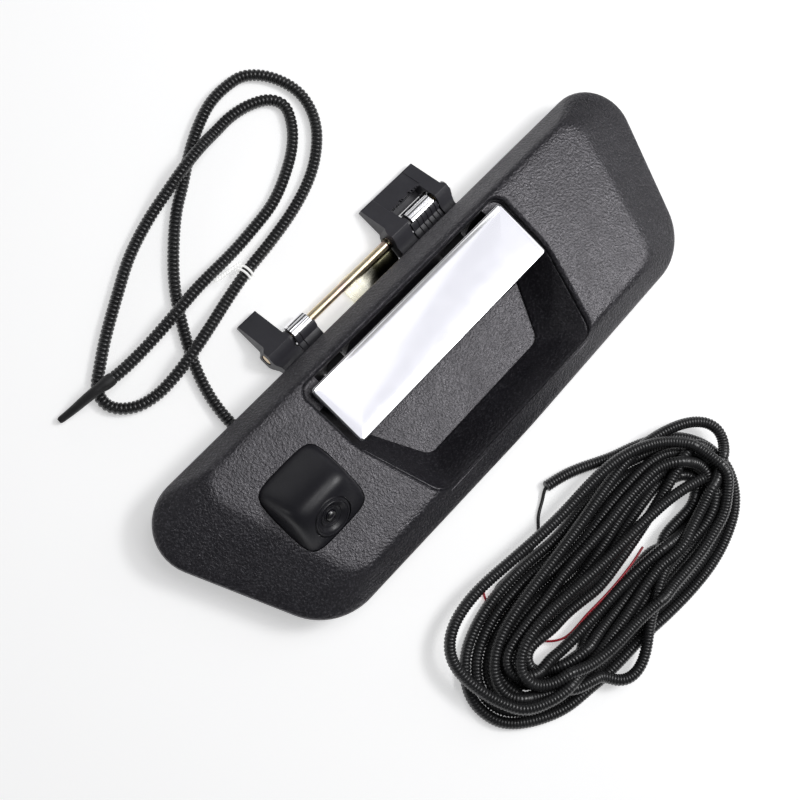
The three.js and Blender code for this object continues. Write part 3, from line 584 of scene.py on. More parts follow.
def dipped(turn):
    """The turn with its lower side lifted into the hank's middle, between its two ends."""
    lift = [7.5 * math.exp(-(((x + 14) / 44) ** 4)) if y < -144 else 0 for x, y in turn]
    return [(x, y + up) for (x, y), up in zip(turn, lift)]


HARNESS_ROUTE = [
    # The loom's open end, above the upper side.
    (-9.4, -87.1), (-2, -88.4), (7, -91.3), (16, -96.4), (26, -102.5),
    *turn_at(0.0)[3:],
    *turn_at(0.16, 0.4, -0.6, 0.5),
    *turn_at(0.34, -0.8, 1.0, -1.5),
    *turn_at(0.5, 1.2, -0.5, 2.0),
    *turn_at(0.68, 0, 0.6, -0.5),
    *dipped(turn_at(0.82, 0.5, -0.8, 1.0)),
    *turn_at(1.0, 0.6, 0.4, 0)[:15],
    # Twice through the middle, and out over the turns at each end.
    (-78, -151.5), (-89, -149), (-93.5, -141), (-87, -133.5), (-68, -134), (-50, -139),
    (-25, -143), (0, -142), (22, -139.5), (40, -135), (54, -130), (66, -130), (73, -138),
    (73, -149), (66, -157.5), (52, -161.5), (34, -160.5), (12, -156), (-10, -152.8),
    (-32, -151.4), (-52, -150.6), (-70, -148.8), (-86, -146.5), (-98, -141), (-101, -132.5),
    (-94, -126), (-78, -124),
    # Back out over the inner turns, round the small loop below the lower side.
    (-45, -123.5), (-10, -123), (20, -121), (42, -124), (56, -133),
    (63, -145), (60, -157), (48, -163), (28, -164), (8, -163), (-6, -165), (-19, -171.5),
    (-30, -180), (-39, -186.5), (-49, -189), (-57.5, -187), (-62, -181.5), (-61, -175),
    (-63, -168.5), (-75, -164), (-92, -158), (-104, -150), (-109, -140), (-105, -128),
    (-92, -119.5), (-70, -115.5), (-40, -114), (-10, -112), (20, -109), (43, -110),
    # Out round the loop at the right end and back along the lower side.
    (60, -114.3), (74, -120.5), (83, -128.5), (86.2, -136), (84, -143), (76, -148),
    (62, -152.5), (42, -157.5), (16, -160), (-12, -160), (-40, -163.5), (-70, -163.5),
    (-92, -158.5), (-104, -152), (-111.8, -142), (-114.6, -130), (-116, -118), (-116.2, -108),
    # Round the loose strand outside the upper side, and under the turns again.
    (-112, -100.5), (-104, -95.6), (-92, -93.2), (-78, -93), (-60, -95.8), (-40, -98.6),
    (-18, -101), (5, -101.2), (25, -103), (43, -109.5), (56, -118), (64, -130), (67, -142),
    (64, -155), (54, -165), (34, -171), (8, -172), (-20, -169), (-48, -166), (-76, -160),
    (-94, -150), (-98, -140), (-91, -131), (-74, -127.5), (-48, -130), (-20, -134),
    (8, -136), (30, -138.5), (44, -142), (55, -147),
]


def to_straight(line):
    """From each inner point of the line to the middle between its neighbours."""
    return (line[:-2] + line[2:]) / 2 - line[1:-1]


def settle(route, rounds):
    """Lays the route down as a heavy, springy tube that can't pass through itself. The
    route's own order says what lies on top where it crosses."""
    spacing, start_height, near = 3.6, 26, 6.25
    springy, push_share, stretch_share = 0.35, 0.4, 0.3
    line = smooth_line([(x, y, 0) for x, y in route], spacing)
    count = len(line)
    line[:, 2] = FLAT + np.linspace(0, start_height, count)
    wish = line[:, :2].copy()
    link = np.linalg.norm(np.diff(line, axis=0), axis=1).mean()
    i, j = np.triu_indices(count, 5)
    for step in range(rounds):
        drop, hold = (0.1, 0.02) if step > rounds * 0.8 else (0.22, 0.04)
        line[:, 2] -= drop
        line[:, :2] += (wish - line[:, :2]) * hold
        line[1:-1] += to_straight(line) * springy
        for _ in range(2):
            gap = line[j] - line[i]
            close = np.abs(gap).max(axis=1) < near
            a, b, g = i[close], j[close], gap[close]
            size = np.linalg.norm(g, axis=1)
            hit = size < near
            a, b, g, size = a[hit], b[hit], g[hit], np.maximum(size[hit], 1e-6)
            push = g / size[:, None] * ((near - size) * push_share)[:, None]
            change = np.zeros_like(line)
            weight = np.zeros(count)
            np.add.at(change, b, push)
            np.add.at(change, a, -push)
            np.add.at(weight, a, 1)
            np.add.at(weight, b, 1)
            line += change / np.maximum(weight, 1)[:, None] ** 0.5
            line[:, 2] = np.maximum(line[:, 2], FLAT)
        pull = np.diff(line, axis=0)
        size = np.linalg.norm(pull, axis=1)[:, None]
        fix = pull / size * (size - link) * stretch_share
        line[:-1] += fix
        line[1:] -= fix
    return line


def eased(line, radius, rounds):
    """The line with its bends that are tighter than radius opened up, end points kept."""
    for _ in range(rounds):
        link = np.diff(line, axis=0)
        size = np.linalg.norm(link, axis=1)
        cosine = (link[1:] * link[:-1]).sum(axis=1) / (size[1:] * size[:-1])
        sharp = (np.arccos(np.clip(cosine, -1, 1)) > size.mean() / radius).astype(float)
        spread = np.convolve(sharp, [0.25, 0.5, 1, 0.5, 0.25], "same")[:, None]
        line[1:-1] += to_straight(line) * 0.4 * np.minimum(spread, 1)
    return line


harness_beads = eased(settle(HARNESS_ROUTE, 64), 10, 120)
harness_beads[:, 2] = np.maximum(harness_beads[:, 2], FLAT)
harness_line = smooth_line(harness_beads, 1.0)
harness, harness_path = loom("harness", harness_line, FINE_RIB, 10)


def declare_looms():
    piece(pigtail, "bezel", "loom_plastic", "pigtail_loom")
    piece(sleeve, "bezel", "black_rubber", "pigtail_sleeve", "pigtail_plug")
    piece(tie, "bezel", "tie_white", "pigtail_tie")
    loops = [f"harness_loop_{place}" for place in ("left", "right", "low")]
    piece(harness, "bezel", "loom_plastic", "harness_hank", "harness_tail", *loops)


def thin_wire(name, route, radius, look, slot_name, node):
    """The stretch of one of the harness's wires that shows outside its loom."""
    line = smooth_line(route, 1.2)
    made = tube(name, line, radius, look)
    piece(made, "bezel", slot_name, node)


BLACK_WIRE_ROUTE = [
    (-7.2, -88, 3.0), (-9.9, -87.6, 2.4), (-16, -91, 1.3), (-23.5, -95, 1.0), (-33, -102.6, 1.0),
    (-48, -104.3, 1.0), (-60, -103.4, 1.0), (-68, -103.2, 1.1), (-73, -106, 1.2), (-76, -112, 1.3),
]
RED_WIRE_ROUTE = [
    (-71.8, -96, 0.8), (-73.2, -98.6, 0.8), (-75.2, -101, 0.8), (-76.6, -104.5, 0.9),
    (-77, -112, 1.0), (-76, -125, 1.0), (-72, -138, 1.4), (-63, -146, 6.5),
    (-44, -147.2, 8.4), (-26, -148.6, 8.4), (-8, -148.6, 8.2), (4, -147.6, 7.6),
]
declare_looms()
thin_wire(
    "harness_thin_wire_black", BLACK_WIRE_ROUTE, 0.95, wire_black, "wire_black", "harness_wire_black"
)
thin_wire("harness_thin_wire_red", RED_WIRE_ROUTE, 0.65, wire_red, "wire_red", "harness_wire_red")

# ------------------------------------------------------------------ bezel
RIM = {"top": 375, "bottom": 287, "high": 54, "low": -54, "r_top": 25, "r_low": 35, "bow": 2.4}
FACE = {"top": 292, "bottom": 241, "high": 45, "low": -42, "r_top": 12, "r_low": 16, "bow": 1.6}
SKIN = 2.6
CUP_X = 1.0
CUP_FLOOR_Z = 6.0
LIP_R = 2.8
LEFT_ARM = (-52.2, -39.2)
RIGHT_ARM = (38.6, 56.2)
MOUNT_BOSSES = [(-138, 29), (138, 29), (-110, -34), (110, -34)]
CAMERA_BOSSES = [(HOOD_X - 27.5, 2), (HOOD_X + 27.5, 2)]
BLOCK_SCREWS = [(-61.2, 48.2), (29.2, 48.2), (62.6, 48.2)]
RIBS_X = [-152, -73, 92, 122, 150]


def subdivided(outline, corner_points, extra):
    """Adds extra points on each straight side between the rounded corners."""
    out = []
    count = len(outline)
    for i in range(count):
        out.append(outline[i])
        if (i + 1) % corner_points == 0:
            after = outline[(i + 1) % count]
            for k in range(1, extra + 1):
                out.append(outline[i] + (after - outline[i]) * k / (extra + 1))
    return np.array(out)


def trapezoid(t, inset, steps, extra):
    slope = (t["top"] - t["bottom"]) / 2 / (t["high"] - t["low"])
    bow_radius = 900

    def half(y):
        return t["bottom"] / 2 + slope * (y - t["low"]) - inset * math.hypot(1, slope)

    high, low = t["high"] - inset, t["low"] + inset
    corners = [
        (-half(low), low, t["r_low"] - inset), (0, low - t["bow"], bow_radius),
        (half(low), low, t["r_low"] - inset), (half(high), high, t["r_top"] - inset),
        (-half(high), high, t["r_top"] - inset),
    ]
    return subdivided(round_corners(corners, steps), steps + 1, extra)


def bezel_rings(shape, steps=8, extra=2):
    """Rings from the rim up, given as (trapezoid, inset, height)."""
    return [level(trapezoid(t, inset, steps, extra), z) for t, inset, z in shape]


def cup_outline(share, outset):
    """The recess's outline at a share of the way from its mouth (0) to its floor (1)."""
    mouth = [(-60, -45, 9), (60, -45, 9), (75, 4, 45), (76, 42, 6), (-76, 42, 6), (-75, 4, 45)]
    floor = [(-43, -28, 8), (43, -28, 8), (61.5, 6, 20), (67, 38, 7), (-67, 38, 7), (-61.5, 6, 20)]
    steps, extra = 10, 5
    corners = []
    for (x, y, r), (fx, fy, fr) in zip(mouth, floor):
        grow = math.copysign(outset, y) if abs(y) > 10 else 0
        corner_x = x + (fx - x) * share + math.copysign(outset, x) + CUP_X
        corners.append((corner_x, y + (fy - y) * share + grow, r + (fr - r) * share + outset))
    return subdivided(round_corners(corners, steps), steps + 1, extra)


def softened(rings, times=2):
    """Chaikin's corner cutting across rings, which rounds a lofted profile's corners."""
    for _ in range(times):
        out = [rings[0]]
        for a, b in zip(rings, rings[1:]):
            out += [a * 0.75 + b * 0.25, a * 0.25 + b * 0.75]
        rings = [*out, rings[-1]]
    return rings


def bezel_outer():
    shape = [
        (RIM, 0.6, RIM_Z - 3), (RIM, 0.05, RIM_Z - 2.4), (RIM, 0, RIM_Z - 0.9),
        (RIM, 1.3, RIM_Z + 0.8), (FACE, -0.5, FACE_Z - 0.55), (FACE, 3.2, FACE_Z), (FACE, 7, FACE_Z),
    ]
    rings = bezel_rings(shape, steps=14, extra=10)
    edge, brow = rings[3:5]
    rings.insert(4, edge * 0.55 + brow * 0.45)
    return solid(softened(rings))


def bezel_outer_cheap():
    """A plain shape just inside the bezel's outside, which trims its ribs and posts."""
    shape = [
        (RIM, 1.2, RIM_Z - 3), (RIM, 1.2, RIM_Z - 0.5), (FACE, 0.5, FACE_Z - 1.2),
        (FACE, 4, FACE_Z - 1.0),
    ]
    return solid(bezel_rings(shape))


def bezel_inner():
    shape = [
        (RIM, SKIN + 0.6, RIM_Z - 9), (RIM, SKIN, RIM_Z - 2.5), (RIM, SKIN + 1.5, RIM_Z - 1.8),
        (FACE, SKIN / 2 - 2.5, FACE_Z - 4), (FACE, SKIN / 2, FACE_Z - 2.9),
        (FACE, SKIN / 2 + 2.5, FACE_Z - SKIN),
    ]
    return solid(bezel_rings(shape))


def cup_wall(outset, mouth_z, floor_z):
    """Rings from the floor up: a flat floor, a wide fillet and a straight wall. Each is given
    as (share of the way to the floor's outline, extra outset, share of the way down)."""
    shape = [
        (1, -9, 1), (1, -3, 1), (0.96, -0.2, 0.975), (0.84, 0, 0.88), (0.66, 0, 0.73),
        (0.3, 0, 0.36), (0.04, 0, 0.08),
    ]
    return [
        level(cup_outline(share, outset + inset), mouth_z + (floor_z - mouth_z) * height)
        for share, inset, height in shape
    ]


def cup_hollow():
    rings = softened(cup_wall(0, FACE_Z - 1.6, CUP_FLOOR_Z))
    for k in range(9):
        a = math.radians(84) * k / 8
        z = FACE_Z + 0.02 - LIP_R + LIP_R * math.sin(a)
        rings.append(level(cup_outline(0, LIP_R * (1 - math.cos(a))), z))
    rings.append(level(cup_outline(0, LIP_R + 0.9), FACE_Z + 0.2))
    rings.append(level(cup_outline(0, LIP_R + 1.2), FACE_Z + 3))
    ledges = [
        block((x - 5.5, x + 5.5), (28, 60), (-5, RIM_Z + 6)) for x in (CUP_X - 70, CUP_X + 70)
    ]
    return combine(solid(rings), ledges, "DIFFERENCE")


def make_bezel():
    base = combine(bezel_outer(), [bezel_inner()], "DIFFERENCE")
    extras = [solid(softened(cup_wall(SKIN, FACE_Z - 1.1, CUP_FLOOR_Z - SKIN), 1))]
    extras += [rod_z(5, (RIM_Z - 3, FACE_Z - 1.5), spot) for spot in MOUNT_BOSSES]
    for spot in CAMERA_BOSSES:
        post = rod_z(3.2, (22.1, FACE_Z - 1.3), spot)
        extras.append(combine(post, [bezel_outer_cheap()], "INTERSECT"))
    extras += [rod_z(3.2, (12.3, RIM_Z + 2.5), spot) for spot in BLOCK_SCREWS]
    for x in RIBS_X:
        rib = block((x - 0.9, x + 0.9), (-60, 60), (RIM_Z - 1, FACE_Z + 3))
        extras.append(combine(rib, [bezel_outer_cheap()], "INTERSECT"))
    base = combine(base, extras, "UNION")
    cuts = [cup_hollow()]
    for x0, x1 in (LEFT_ARM, RIGHT_ARM):
        cuts.append(block((x0 - 1.4, x1 + 1.4), (15, 45.4), (-1, FACE_Z - 5)))
    cuts += [rod_z(2.9, (0, FACE_Z - 5.7), spot) for spot in MOUNT_BOSSES]
    cuts += [rod_z(1.4, (RIM_Z, FACE_Z - 4), spot, 16) for spot in CAMERA_BOSSES]
    cuts += [rod_z(1.6, (0, RIM_Z + 0.5), spot, 16) for spot in BLOCK_SCREWS]
    foot = hood_foot(0.35)
    cuts.append(solid([level(foot, RIM_Z + 5), level(foot, FACE_Z + 2)]))
    base = combine(base, cuts, "DIFFERENCE")
    return release(base, "bezel_shell", grained, sharp=38, weighted=True)


# ------------------------------------------------------------------ camera hood
# Planes of the hood as (normal, distance), from a point on the face under its middle.
SIDE_TILT = math.atan(0.17)
HOOD_PLANES = [
    ((0, -0.67, 0.742), 22.1),
    ((0, 0.63, 0.777), 23.8),
    ((math.cos(SIDE_TILT), 0, math.sin(SIDE_TILT)), 22.0),
    ((-math.cos(SIDE_TILT), 0, math.sin(SIDE_TILT)), 22.1),
    ((0, 1, 0), 25.8),
    ((0, -1, 0), 23),
    ((0, 0, 1), 31),
]
HOOD_SHARP = 0.3


def hood_reach(direction, start):
    """How far the hood's rounded surface is from start along each direction."""
    normals = np.array([n for n, _ in HOOD_PLANES])
    limits = np.array([d for _, d in HOOD_PLANES])
    slope = direction @ normals.T
    base = normals @ start - limits
    low, high = np.zeros(len(direction)), np.full(len(direction), 90.0)
    for _ in range(40):
        middle = (low + high) / 2
        value = HOOD_SHARP * (base + middle[:, None] * slope)
        peak = value.max(axis=1)
        inside = peak + np.log(np.exp(value - peak[:, None]).sum(axis=1)) < 0
        low, high = np.where(inside, middle, low), np.where(inside, high, middle)
    return low


HOOD_START = np.array([0, 1.5, FACE_Z - RIM_Z])


def hood_ring(elevation, grow=0.0):
    """The hood's ring in one elevation from its start, moved out by grow."""
    d = level(circle(1, 112) * math.cos(elevation), math.sin(elevation))
    reach = hood_reach(d, HOOD_START) + grow
    return HOOD_START + (HOOD_X, 0, RIM_Z) + d * reach[:, None]


def hood_foot(outset):
    return hood_ring(0, grow=outset)[:, :2]


LENS_SPOT = Vector((HOOD_X - 1.2, -11.9, RIM_Z + 18.8))
LENS_TURN = Matrix.Rotation(math.radians(43), 3, "X")


def on_lens(points):
    """Points on the lens axis, with height out of the lens, to the drawing's axes."""
    return np.array([LENS_TURN @ Vector(p) + LENS_SPOT for p in points])


def lens_turned(name, profile, look, sides=64):
    """A closed profile of [radius, height] points turned about the lens axis."""
    ring = circle(1, sides)
    points, faces = loft([level(ring * r, h) for r, h in profile], closed=True)
    return made_object(name, on_lens(points), [f[::-1] for f in faces], look, sharp=35)


def lens_cutter(profile):
    ring = circle(1, 64)
    points, faces = loft([level(ring * r, h) for r, h in profile])
    return working(on_lens(points), faces)


def make_hood():
    foot = hood_foot(0)
    rings = [level(foot, RIM_Z + 1.6), level(foot, FACE_Z - 0.4)]
    rings += [hood_ring(math.radians(a)) for a in np.concatenate([np.arange(0, 84, 2.4), [86, 89]])]
    base = solid(rings)
    inside_foot = hood_foot(-2)
    inner = [level(inside_foot, RIM_Z - 1), level(inside_foot, FACE_Z - 0.4)]
    inner += [hood_ring(math.radians(a), grow=-2) for a in range(0, 88, 6)]
    flange = [
        block((HOOD_X - 24.2, HOOD_X + 24.2), (-22.5, 25.5), (RIM_Z + 0.3, RIM_Z + 1.8)),
        block((HOOD_X - 31.2, HOOD_X + 31.2), (-2, 6), (RIM_Z + 0.3, RIM_Z + 1.8)),
    ]
    base = combine(base, flange, "UNION")
    cuts = [solid(inner)]
    cuts += [rod_z(1.5, (0, RIM_Z + 5), spot, 20) for spot in CAMERA_BOSSES]
    cuts.append(lens_cutter([(10.9, -2.9), (10.9, 0.6), (11.3, 9)]))
    cuts.append(lens_cutter([(8.1, -9), (8.1, 8)]))
    base = combine(base, cuts, "DIFFERENCE")
    return release(base, "hood_shell", satin, sharp=42, weighted=True)


LENS_RING = [
    (6.1, -2.5), (10.8, -2.5), (10.8, -1.3), (10.2, -0.95), (10.2, -0.6), (10.05, -0.35),
    (9.8, -0.25), (9.3, -0.25), (9.1, -0.35), (8.95, -0.65), (8.75, -0.7), (8.6, -0.5),
    (8.4, -0.4), (8.1, -0.45), (7.4, -1.0), (6.6, -1.7), (6.25, -1.9), (6.1, -2.0),
]
LENS_BARREL = [
    (3.15, -8), (7.4, -8), (7.4, -2.75), (5.85, -2.75), (5.8, -1.95), (5.45, -1.9), (5.2, -2.1),
    (4.6, -2.2), (4.4, -2.5), (3.9, -2.55), (3.7, -2.25), (3.35, -2.2), (3.15, -2.4),
]
IRIS = [
    (1.55, -1.0), (2.15, -1.25), (2.5, -1.4), (2.5, -1.2), (2.2, -0.95), (1.65, -0.72), (1.55, -0.76),
]
GLASS_R = 3.05
GLASS_EDGE_Z = -2.5
GLASS_RISE = 1.75


def make_lens():
    ring = lens_turned("lens_trim_ring", LENS_RING, satin)
    barrel = lens_turned("lens_inner_barrel", LENS_BARREL, satin)
    dome = [(0.001, -7.5), (GLASS_R, -7.5), (GLASS_R, GLASS_EDGE_Z)]
    for a in np.linspace(0.15, 1.5, 9):
        dome.append((GLASS_R * math.cos(a), GLASS_EDGE_Z + GLASS_RISE * math.sin(a)))
    dome.append((0.001, -0.74))
    piece(ring, "bezel", "hood_plastic", "lens_ring")
    piece(barrel, "bezel", "hood_plastic", "lens_barrel")
    piece(lens_turned("lens_front_glass", dome, glass_look, 48), "bezel", "lens_glass", "lens_glass")
    piece(lens_turned("lens_iris", IRIS, iris_look, 48), "bezel", "fastener_steel")


# ------------------------------------------------------------------ handle
PADDLE_HALF = 72.3
PADDLE_Y = (2.2, 38.4)
PADDLE_TOP_Z = RIM_Z + 12.5
PADDLE_BACK_Z = PADDLE_TOP_Z - 3
ARM_TOP_Z = PADDLE_BACK_Z - 0.3
LEG_Z = (1.6, 8.6)


def arm_screws(x):
    return [(x[0] + 3.8, 15), (x[1] - 3.8, 15)]


ARM_SCREWS = arm_screws(LEFT_ARM) + arm_screws(RIGHT_ARM)


def paddle_outline(inset, radius):
    steps, extra = 8, 7
    x0, x1 = CUP_X - PADDLE_HALF + inset, CUP_X + PADDLE_HALF - inset
    y0, y1 = PADDLE_Y[0] + inset, PADDLE_Y[1] - inset
    corners = [(x0, y0, radius), (x1, y0, radius), (x1, y1, radius), (x0, y1, radius)]
    return subdivided(round_corners(corners, steps), steps + 1, extra)


def make_paddle():
    corner, round_z, round_rise = 2.3, PADDLE_TOP_Z - 1.9, 1.62
    rings = [
        level(paddle_outline(0.5, 1.8), PADDLE_BACK_Z),
        level(paddle_outline(0, corner), PADDLE_BACK_Z + 0.5),
        level(paddle_outline(0, corner), round_z),
    ]
    for k in range(1, 6):
        a = math.radians(82) * k / 5
        inset = 1.05 * (1 - math.cos(a))
        rings.append(level(paddle_outline(inset, corner - inset), round_z + round_rise * math.sin(a)))
    for inset, drop in [(1.5, 0.24), (2.4, 0.18), (4, 0.12), (7, 0.06), (11, 0.02), (15, 0.0)]:
        rings.append(level(paddle_outline(inset, max(corner - inset, 0.15)), PADDLE_TOP_Z - drop))
    base = solid(rings)
    left, right = CUP_X - PADDLE_HALF, CUP_X + PADDLE_HALF
    low, high = PADDLE_Y
    wall = block((left + 1.2, right - 1.2), (low + 1.2, high - 7), (PADDLE_BACK_Z - 3, PADDLE_BACK_Z + 1))
    pocket = block((left + 3, right - 3), (low + 3, 35.3), (PADDLE_BACK_Z - 5, PADDLE_BACK_Z))
    wall = bevelled(combine(wall, [pocket], "DIFFERENCE"), 0.5, 2)
    base = combine(base, [wall], "UNION")
    screws = [rod_z(1.25, (0, PADDLE_TOP_Z - 1.2), spot, 20) for spot in ARM_SCREWS]
    base = combine(base, screws, "DIFFERENCE")
    return release(base, "paddle_shell", chrome, sharp=32, weighted=True)


def knuckle_ring(x, radius):
    """A ring round the pin, notched by the knuckle's lengthwise groove."""
    ring = circle(1, 72)
    groove = math.radians(-16) + math.pi / 2
    depth, half_angle = 0.4, 0.1
    radii = []
    for c, s in ring:
        away = abs(math.remainder(math.atan2(s, c) - groove, 2 * math.pi))
        radii.append(radius - depth * max(0, 1 - away / half_angle))
    yz = ring * np.array(radii)[:, None] + (PIN_Y, PIN_Z)
    return np.column_stack([np.full(len(ring), x), yz])


def make_arm(name, x):
    """A knuckle round the pin with a lengthwise groove, a leg with a channel in its front,
    and a neck that carries the paddle."""
    rounding = [(0, 5.3), (0.15, 5.6), (0.5, 5.8)]
    rings = [knuckle_ring(x[0] + inward, r) for inward, r in rounding]
    rings += [knuckle_ring(x[1] - inward, r) for inward, r in reversed(rounding)]
    low, high = LEG_Z
    profile = [
        (20, low), (PIN_Y, low), (PIN_Y, PIN_Z + 5.1), (55, PIN_Z + 4.3), (49, high), (30, high),
        (26, high + 3), (26, ARM_TOP_Z), (12, ARM_TOP_Z), (12, ARM_TOP_Z - 3), (17.7, ARM_TOP_Z - 3),
        (18, ARM_TOP_Z - 5), (18, low + 2),
    ]
    knuckle = solid(rings)
    leg = bevelled(extruded_x(profile, (x[0] + 1.2, x[1] - 1.2)), 0.45, 3, 25)
    channel = block((x[0] - 1, x[1] + 1), (47, 62.8), (PIN_Z - 1.2, 30))
    arm = combine(leg, [channel], "DIFFERENCE")
    arm = combine(arm, [knuckle], "UNION")
    cuts = [rod_on_pin(2.7, (x[0] - 1, x[1] + 1))]
    cuts += [rod_z(1.25, (0, PADDLE_TOP_Z), spot, 20) for spot in arm_screws(x)]
    return release(combine(arm, cuts, "DIFFERENCE"), name, chrome, sharp=34, weighted=True)


def make_arm_reflection_cover(name, x, ribs):
    """The black cover on an arm, a painted dark reflection: it stands for the dark that the
    chrome reflects there. It wraps the leg's top and sides and the knuckle's front, with ribs along it."""
    radius, rib_height = 6.45, 0.7
    arc = [
        (PIN_Y + radius * math.cos(a), PIN_Z + radius * math.sin(a))
        for a in np.radians(np.linspace(106, 156, 7))
    ]
    profile = [
        (46.9, 0.9), (62.9, 0.9), *arc, (57.4, PIN_Z + 2.5), (55, PIN_Z + 2), (49, PIN_Z + 0.9),
        (46.9, PIN_Z + 0.7),
    ]
    raised = [(y, z + (rib_height if z > PIN_Z else 0)) for y, z in profile]
    base = bevelled(extruded_x(profile, x), 0.25, 3, 30)
    bars = [bevelled(extruded_x(raised, (r - 0.35, r + 0.35)), 0.2, 2) for r in ribs]
    base = combine(base, bars, "UNION")
    cuts = [
        block((x[0] + 1.6, x[1] - 1.6), (40, 70), (LEG_Z[0] - 5, PIN_Z - 1.1)),
        rod_on_pin(5.9, (-70, 70)),
    ]
    return release(combine(base, cuts, "DIFFERENCE"), name, nylon, sharp=30)


def make_leg_shade_sleeve(name, x):
    """A thin dark rubber sleeve on an arm's leg, where it passes through the bezel's window: painted shade, a dark
    piece that stands for the shade in that narrow gap.
    """
    base = block((x[0] + 0.4, x[1] - 0.4), (26.8, 46.6), (2, LEG_Z[1] + 0.55))
    leg = block((x[0] + 1.1, x[1] - 1.1), (20, 50), (0, LEG_Z[1] + 0.05))
    return release(bevelled(combine(base, [leg], "DIFFERENCE"), 0.15, 2), name, rubber_look)


# ------------------------------------------------------------------ hinge
BLOCK_SIDE = [
    (45, 5.5), (52, 5.5), (56.5, 0), (87, 0), (87, 4.2), (64.9, 14.75), (61.9, 13.4),
    (58.8, 10.4), (56.2, 9.5), (54.4, 9.7), (53, 12), (45, 12),
]


def block_top(y):
    """The height of a block's sloping rear part."""
    return 14.75 - (y - 64.9) * (10.55 / 22.1)


def block_body(outline, x):
    """A pivot block with the side view of BLOCK_SIDE and the outline given from above."""
    bulk = extruded_x(BLOCK_SIDE, (x[0] - 4, x[1] + 4))
    return combine(bulk, [solid([level(outline, -1), level(outline, 20)])], "INTERSECT")


def release_block(base, cuts, name, screws):
    cuts += [rod_z(1.7, (0, 20), spot, 20) for spot in screws]
    return release(combine(base, cuts, "DIFFERENCE"), name, nylon, sharp=34, weighted=True)


def make_left_block():
    outline = [
        (-67.5, 40), (-53, 40), (-53, 58.2), (-55, 59.6), (-55, 88), (-67.5, 88), (-67.5, 70.4),
        (-68.3, 69.2), (-69.7, 68.2), (-70, 67.2), (-70, 61.4), (-69.4, 59.6), (-67.5, 56.4),
    ]
    base = bevelled(block_body(outline, (-70, -53)), 0.4, 3, 30)
    cuts = [rod_on_pin(2.75, (-90, -40)), rod_on_pin(3.3, (-75, -69.0))]
    return release_block(base, cuts, "block_left_shell", BLOCK_SCREWS[:1])


def make_right_block():
    outline = [
        (66, 40), (66, 55), (67.6, 60), (67.6, 65.4), (67.2, 66.8), (66, 68.4), (66, 88),
        (25, 88), (25, 71), (23.6, 69.2), (23, 67.6), (23, 40),
    ]
    base = block_body(outline, (23, 68))
    panel_y, sunk = (75.6, 88), 0.55
    panel = [*[(y, block_top(y) - sunk) for y in panel_y], (panel_y[1], 30), (panel_y[0], 30)]
    notch = [block((35.5, 57.5), (0, 71.3), (-1, 20)), block((35.5, 57.5), (70, 75), (2.2, 20))]
    base = combine(base, [extruded_x(panel, (34.6, 58.6)), *notch], "DIFFERENCE")
    base = bevelled(base, 0.35, 3, 30)
    # Ragged gaps along the notch's rear edge.
    teeth = random.Random(4)
    x = 36.2
    marks = []
    while x < 56.4:
        wide = teeth.uniform(0.5, 1.2)
        reach = teeth.uniform(0.7, 2.2)
        floor_z = block_top(77) - teeth.uniform(1.5, 3)
        marks.append(block((x, x + wide), (74, 74.6 + reach), (floor_z, 20)))
        x += wide + teeth.uniform(0.5, 1.3)
    cuts = [rod_on_pin(2.75, (20, 80)), rod_on_pin(6.15, (56.5, 65.5)), *marks]
    cuts.append(block((56.5, 59.6), (40, PIN_Y), (PIN_Z - 5.9, PIN_Z - 3.9)))
    return release_block(base, cuts, "block_right_shell", BLOCK_SCREWS[1:])


def make_pin():
    profile = [
        (-69.9, 1.9), (-69.75, 2.5), (-69.4, 2.9), (-69.2, 2.9), (-69.15, 2.5), (-60, 2.5),
        (68.25, 2.5), (68.3, 2.05), (69.3, 2.05), (69.35, 2.5), (70, 2.5), (70.4, 2.0),
    ]
    return made_object("hinge_pin_shell", *turned_on_pin(profile, 56), zinc, sharp=30)


def make_spacer(name, x):
    profile = [(x[0], 4.3), (x[0] + 0.3, 4.6), (x[1] - 0.3, 4.6), (x[1], 4.3)]
    base = working(*turned_on_pin(profile, 48))
    base = combine(base, [rod_on_pin(2.7, (x[0] - 1, x[1] + 1))], "DIFFERENCE")
    return release(base, name, nylon, sharp=34)


LEVER_X = (-12.5, 22.6)
LEVER_SCREWS = [(LEFT_ARM[1] + 1.4, 47.8), (LEFT_ARM[1] + 1.4, 51.6)]


def lever_point(x, y):
    """The middle of the lever's sheet, which folds up towards the pin at its right."""
    left = LEVER_X[0]
    lift = np.clip((y - 54) / 7.2, 0, 1) if y < 61.4 else np.clip((65.5 - y) / 4.1, 0, 1)
    share = np.clip((x - left - 9) / 15, 0, 1)
    share = share * share * (3 - 2 * share)
    end_y = 66.6 + 1.4 * np.clip((left + 10 - x) / 1.5, 0, 1) * np.clip((x - left) / 2, 0, 1)
    return x, min(y, end_y), 1.4 + 3.6 * share * lift * (1 - 0.25 * lift)


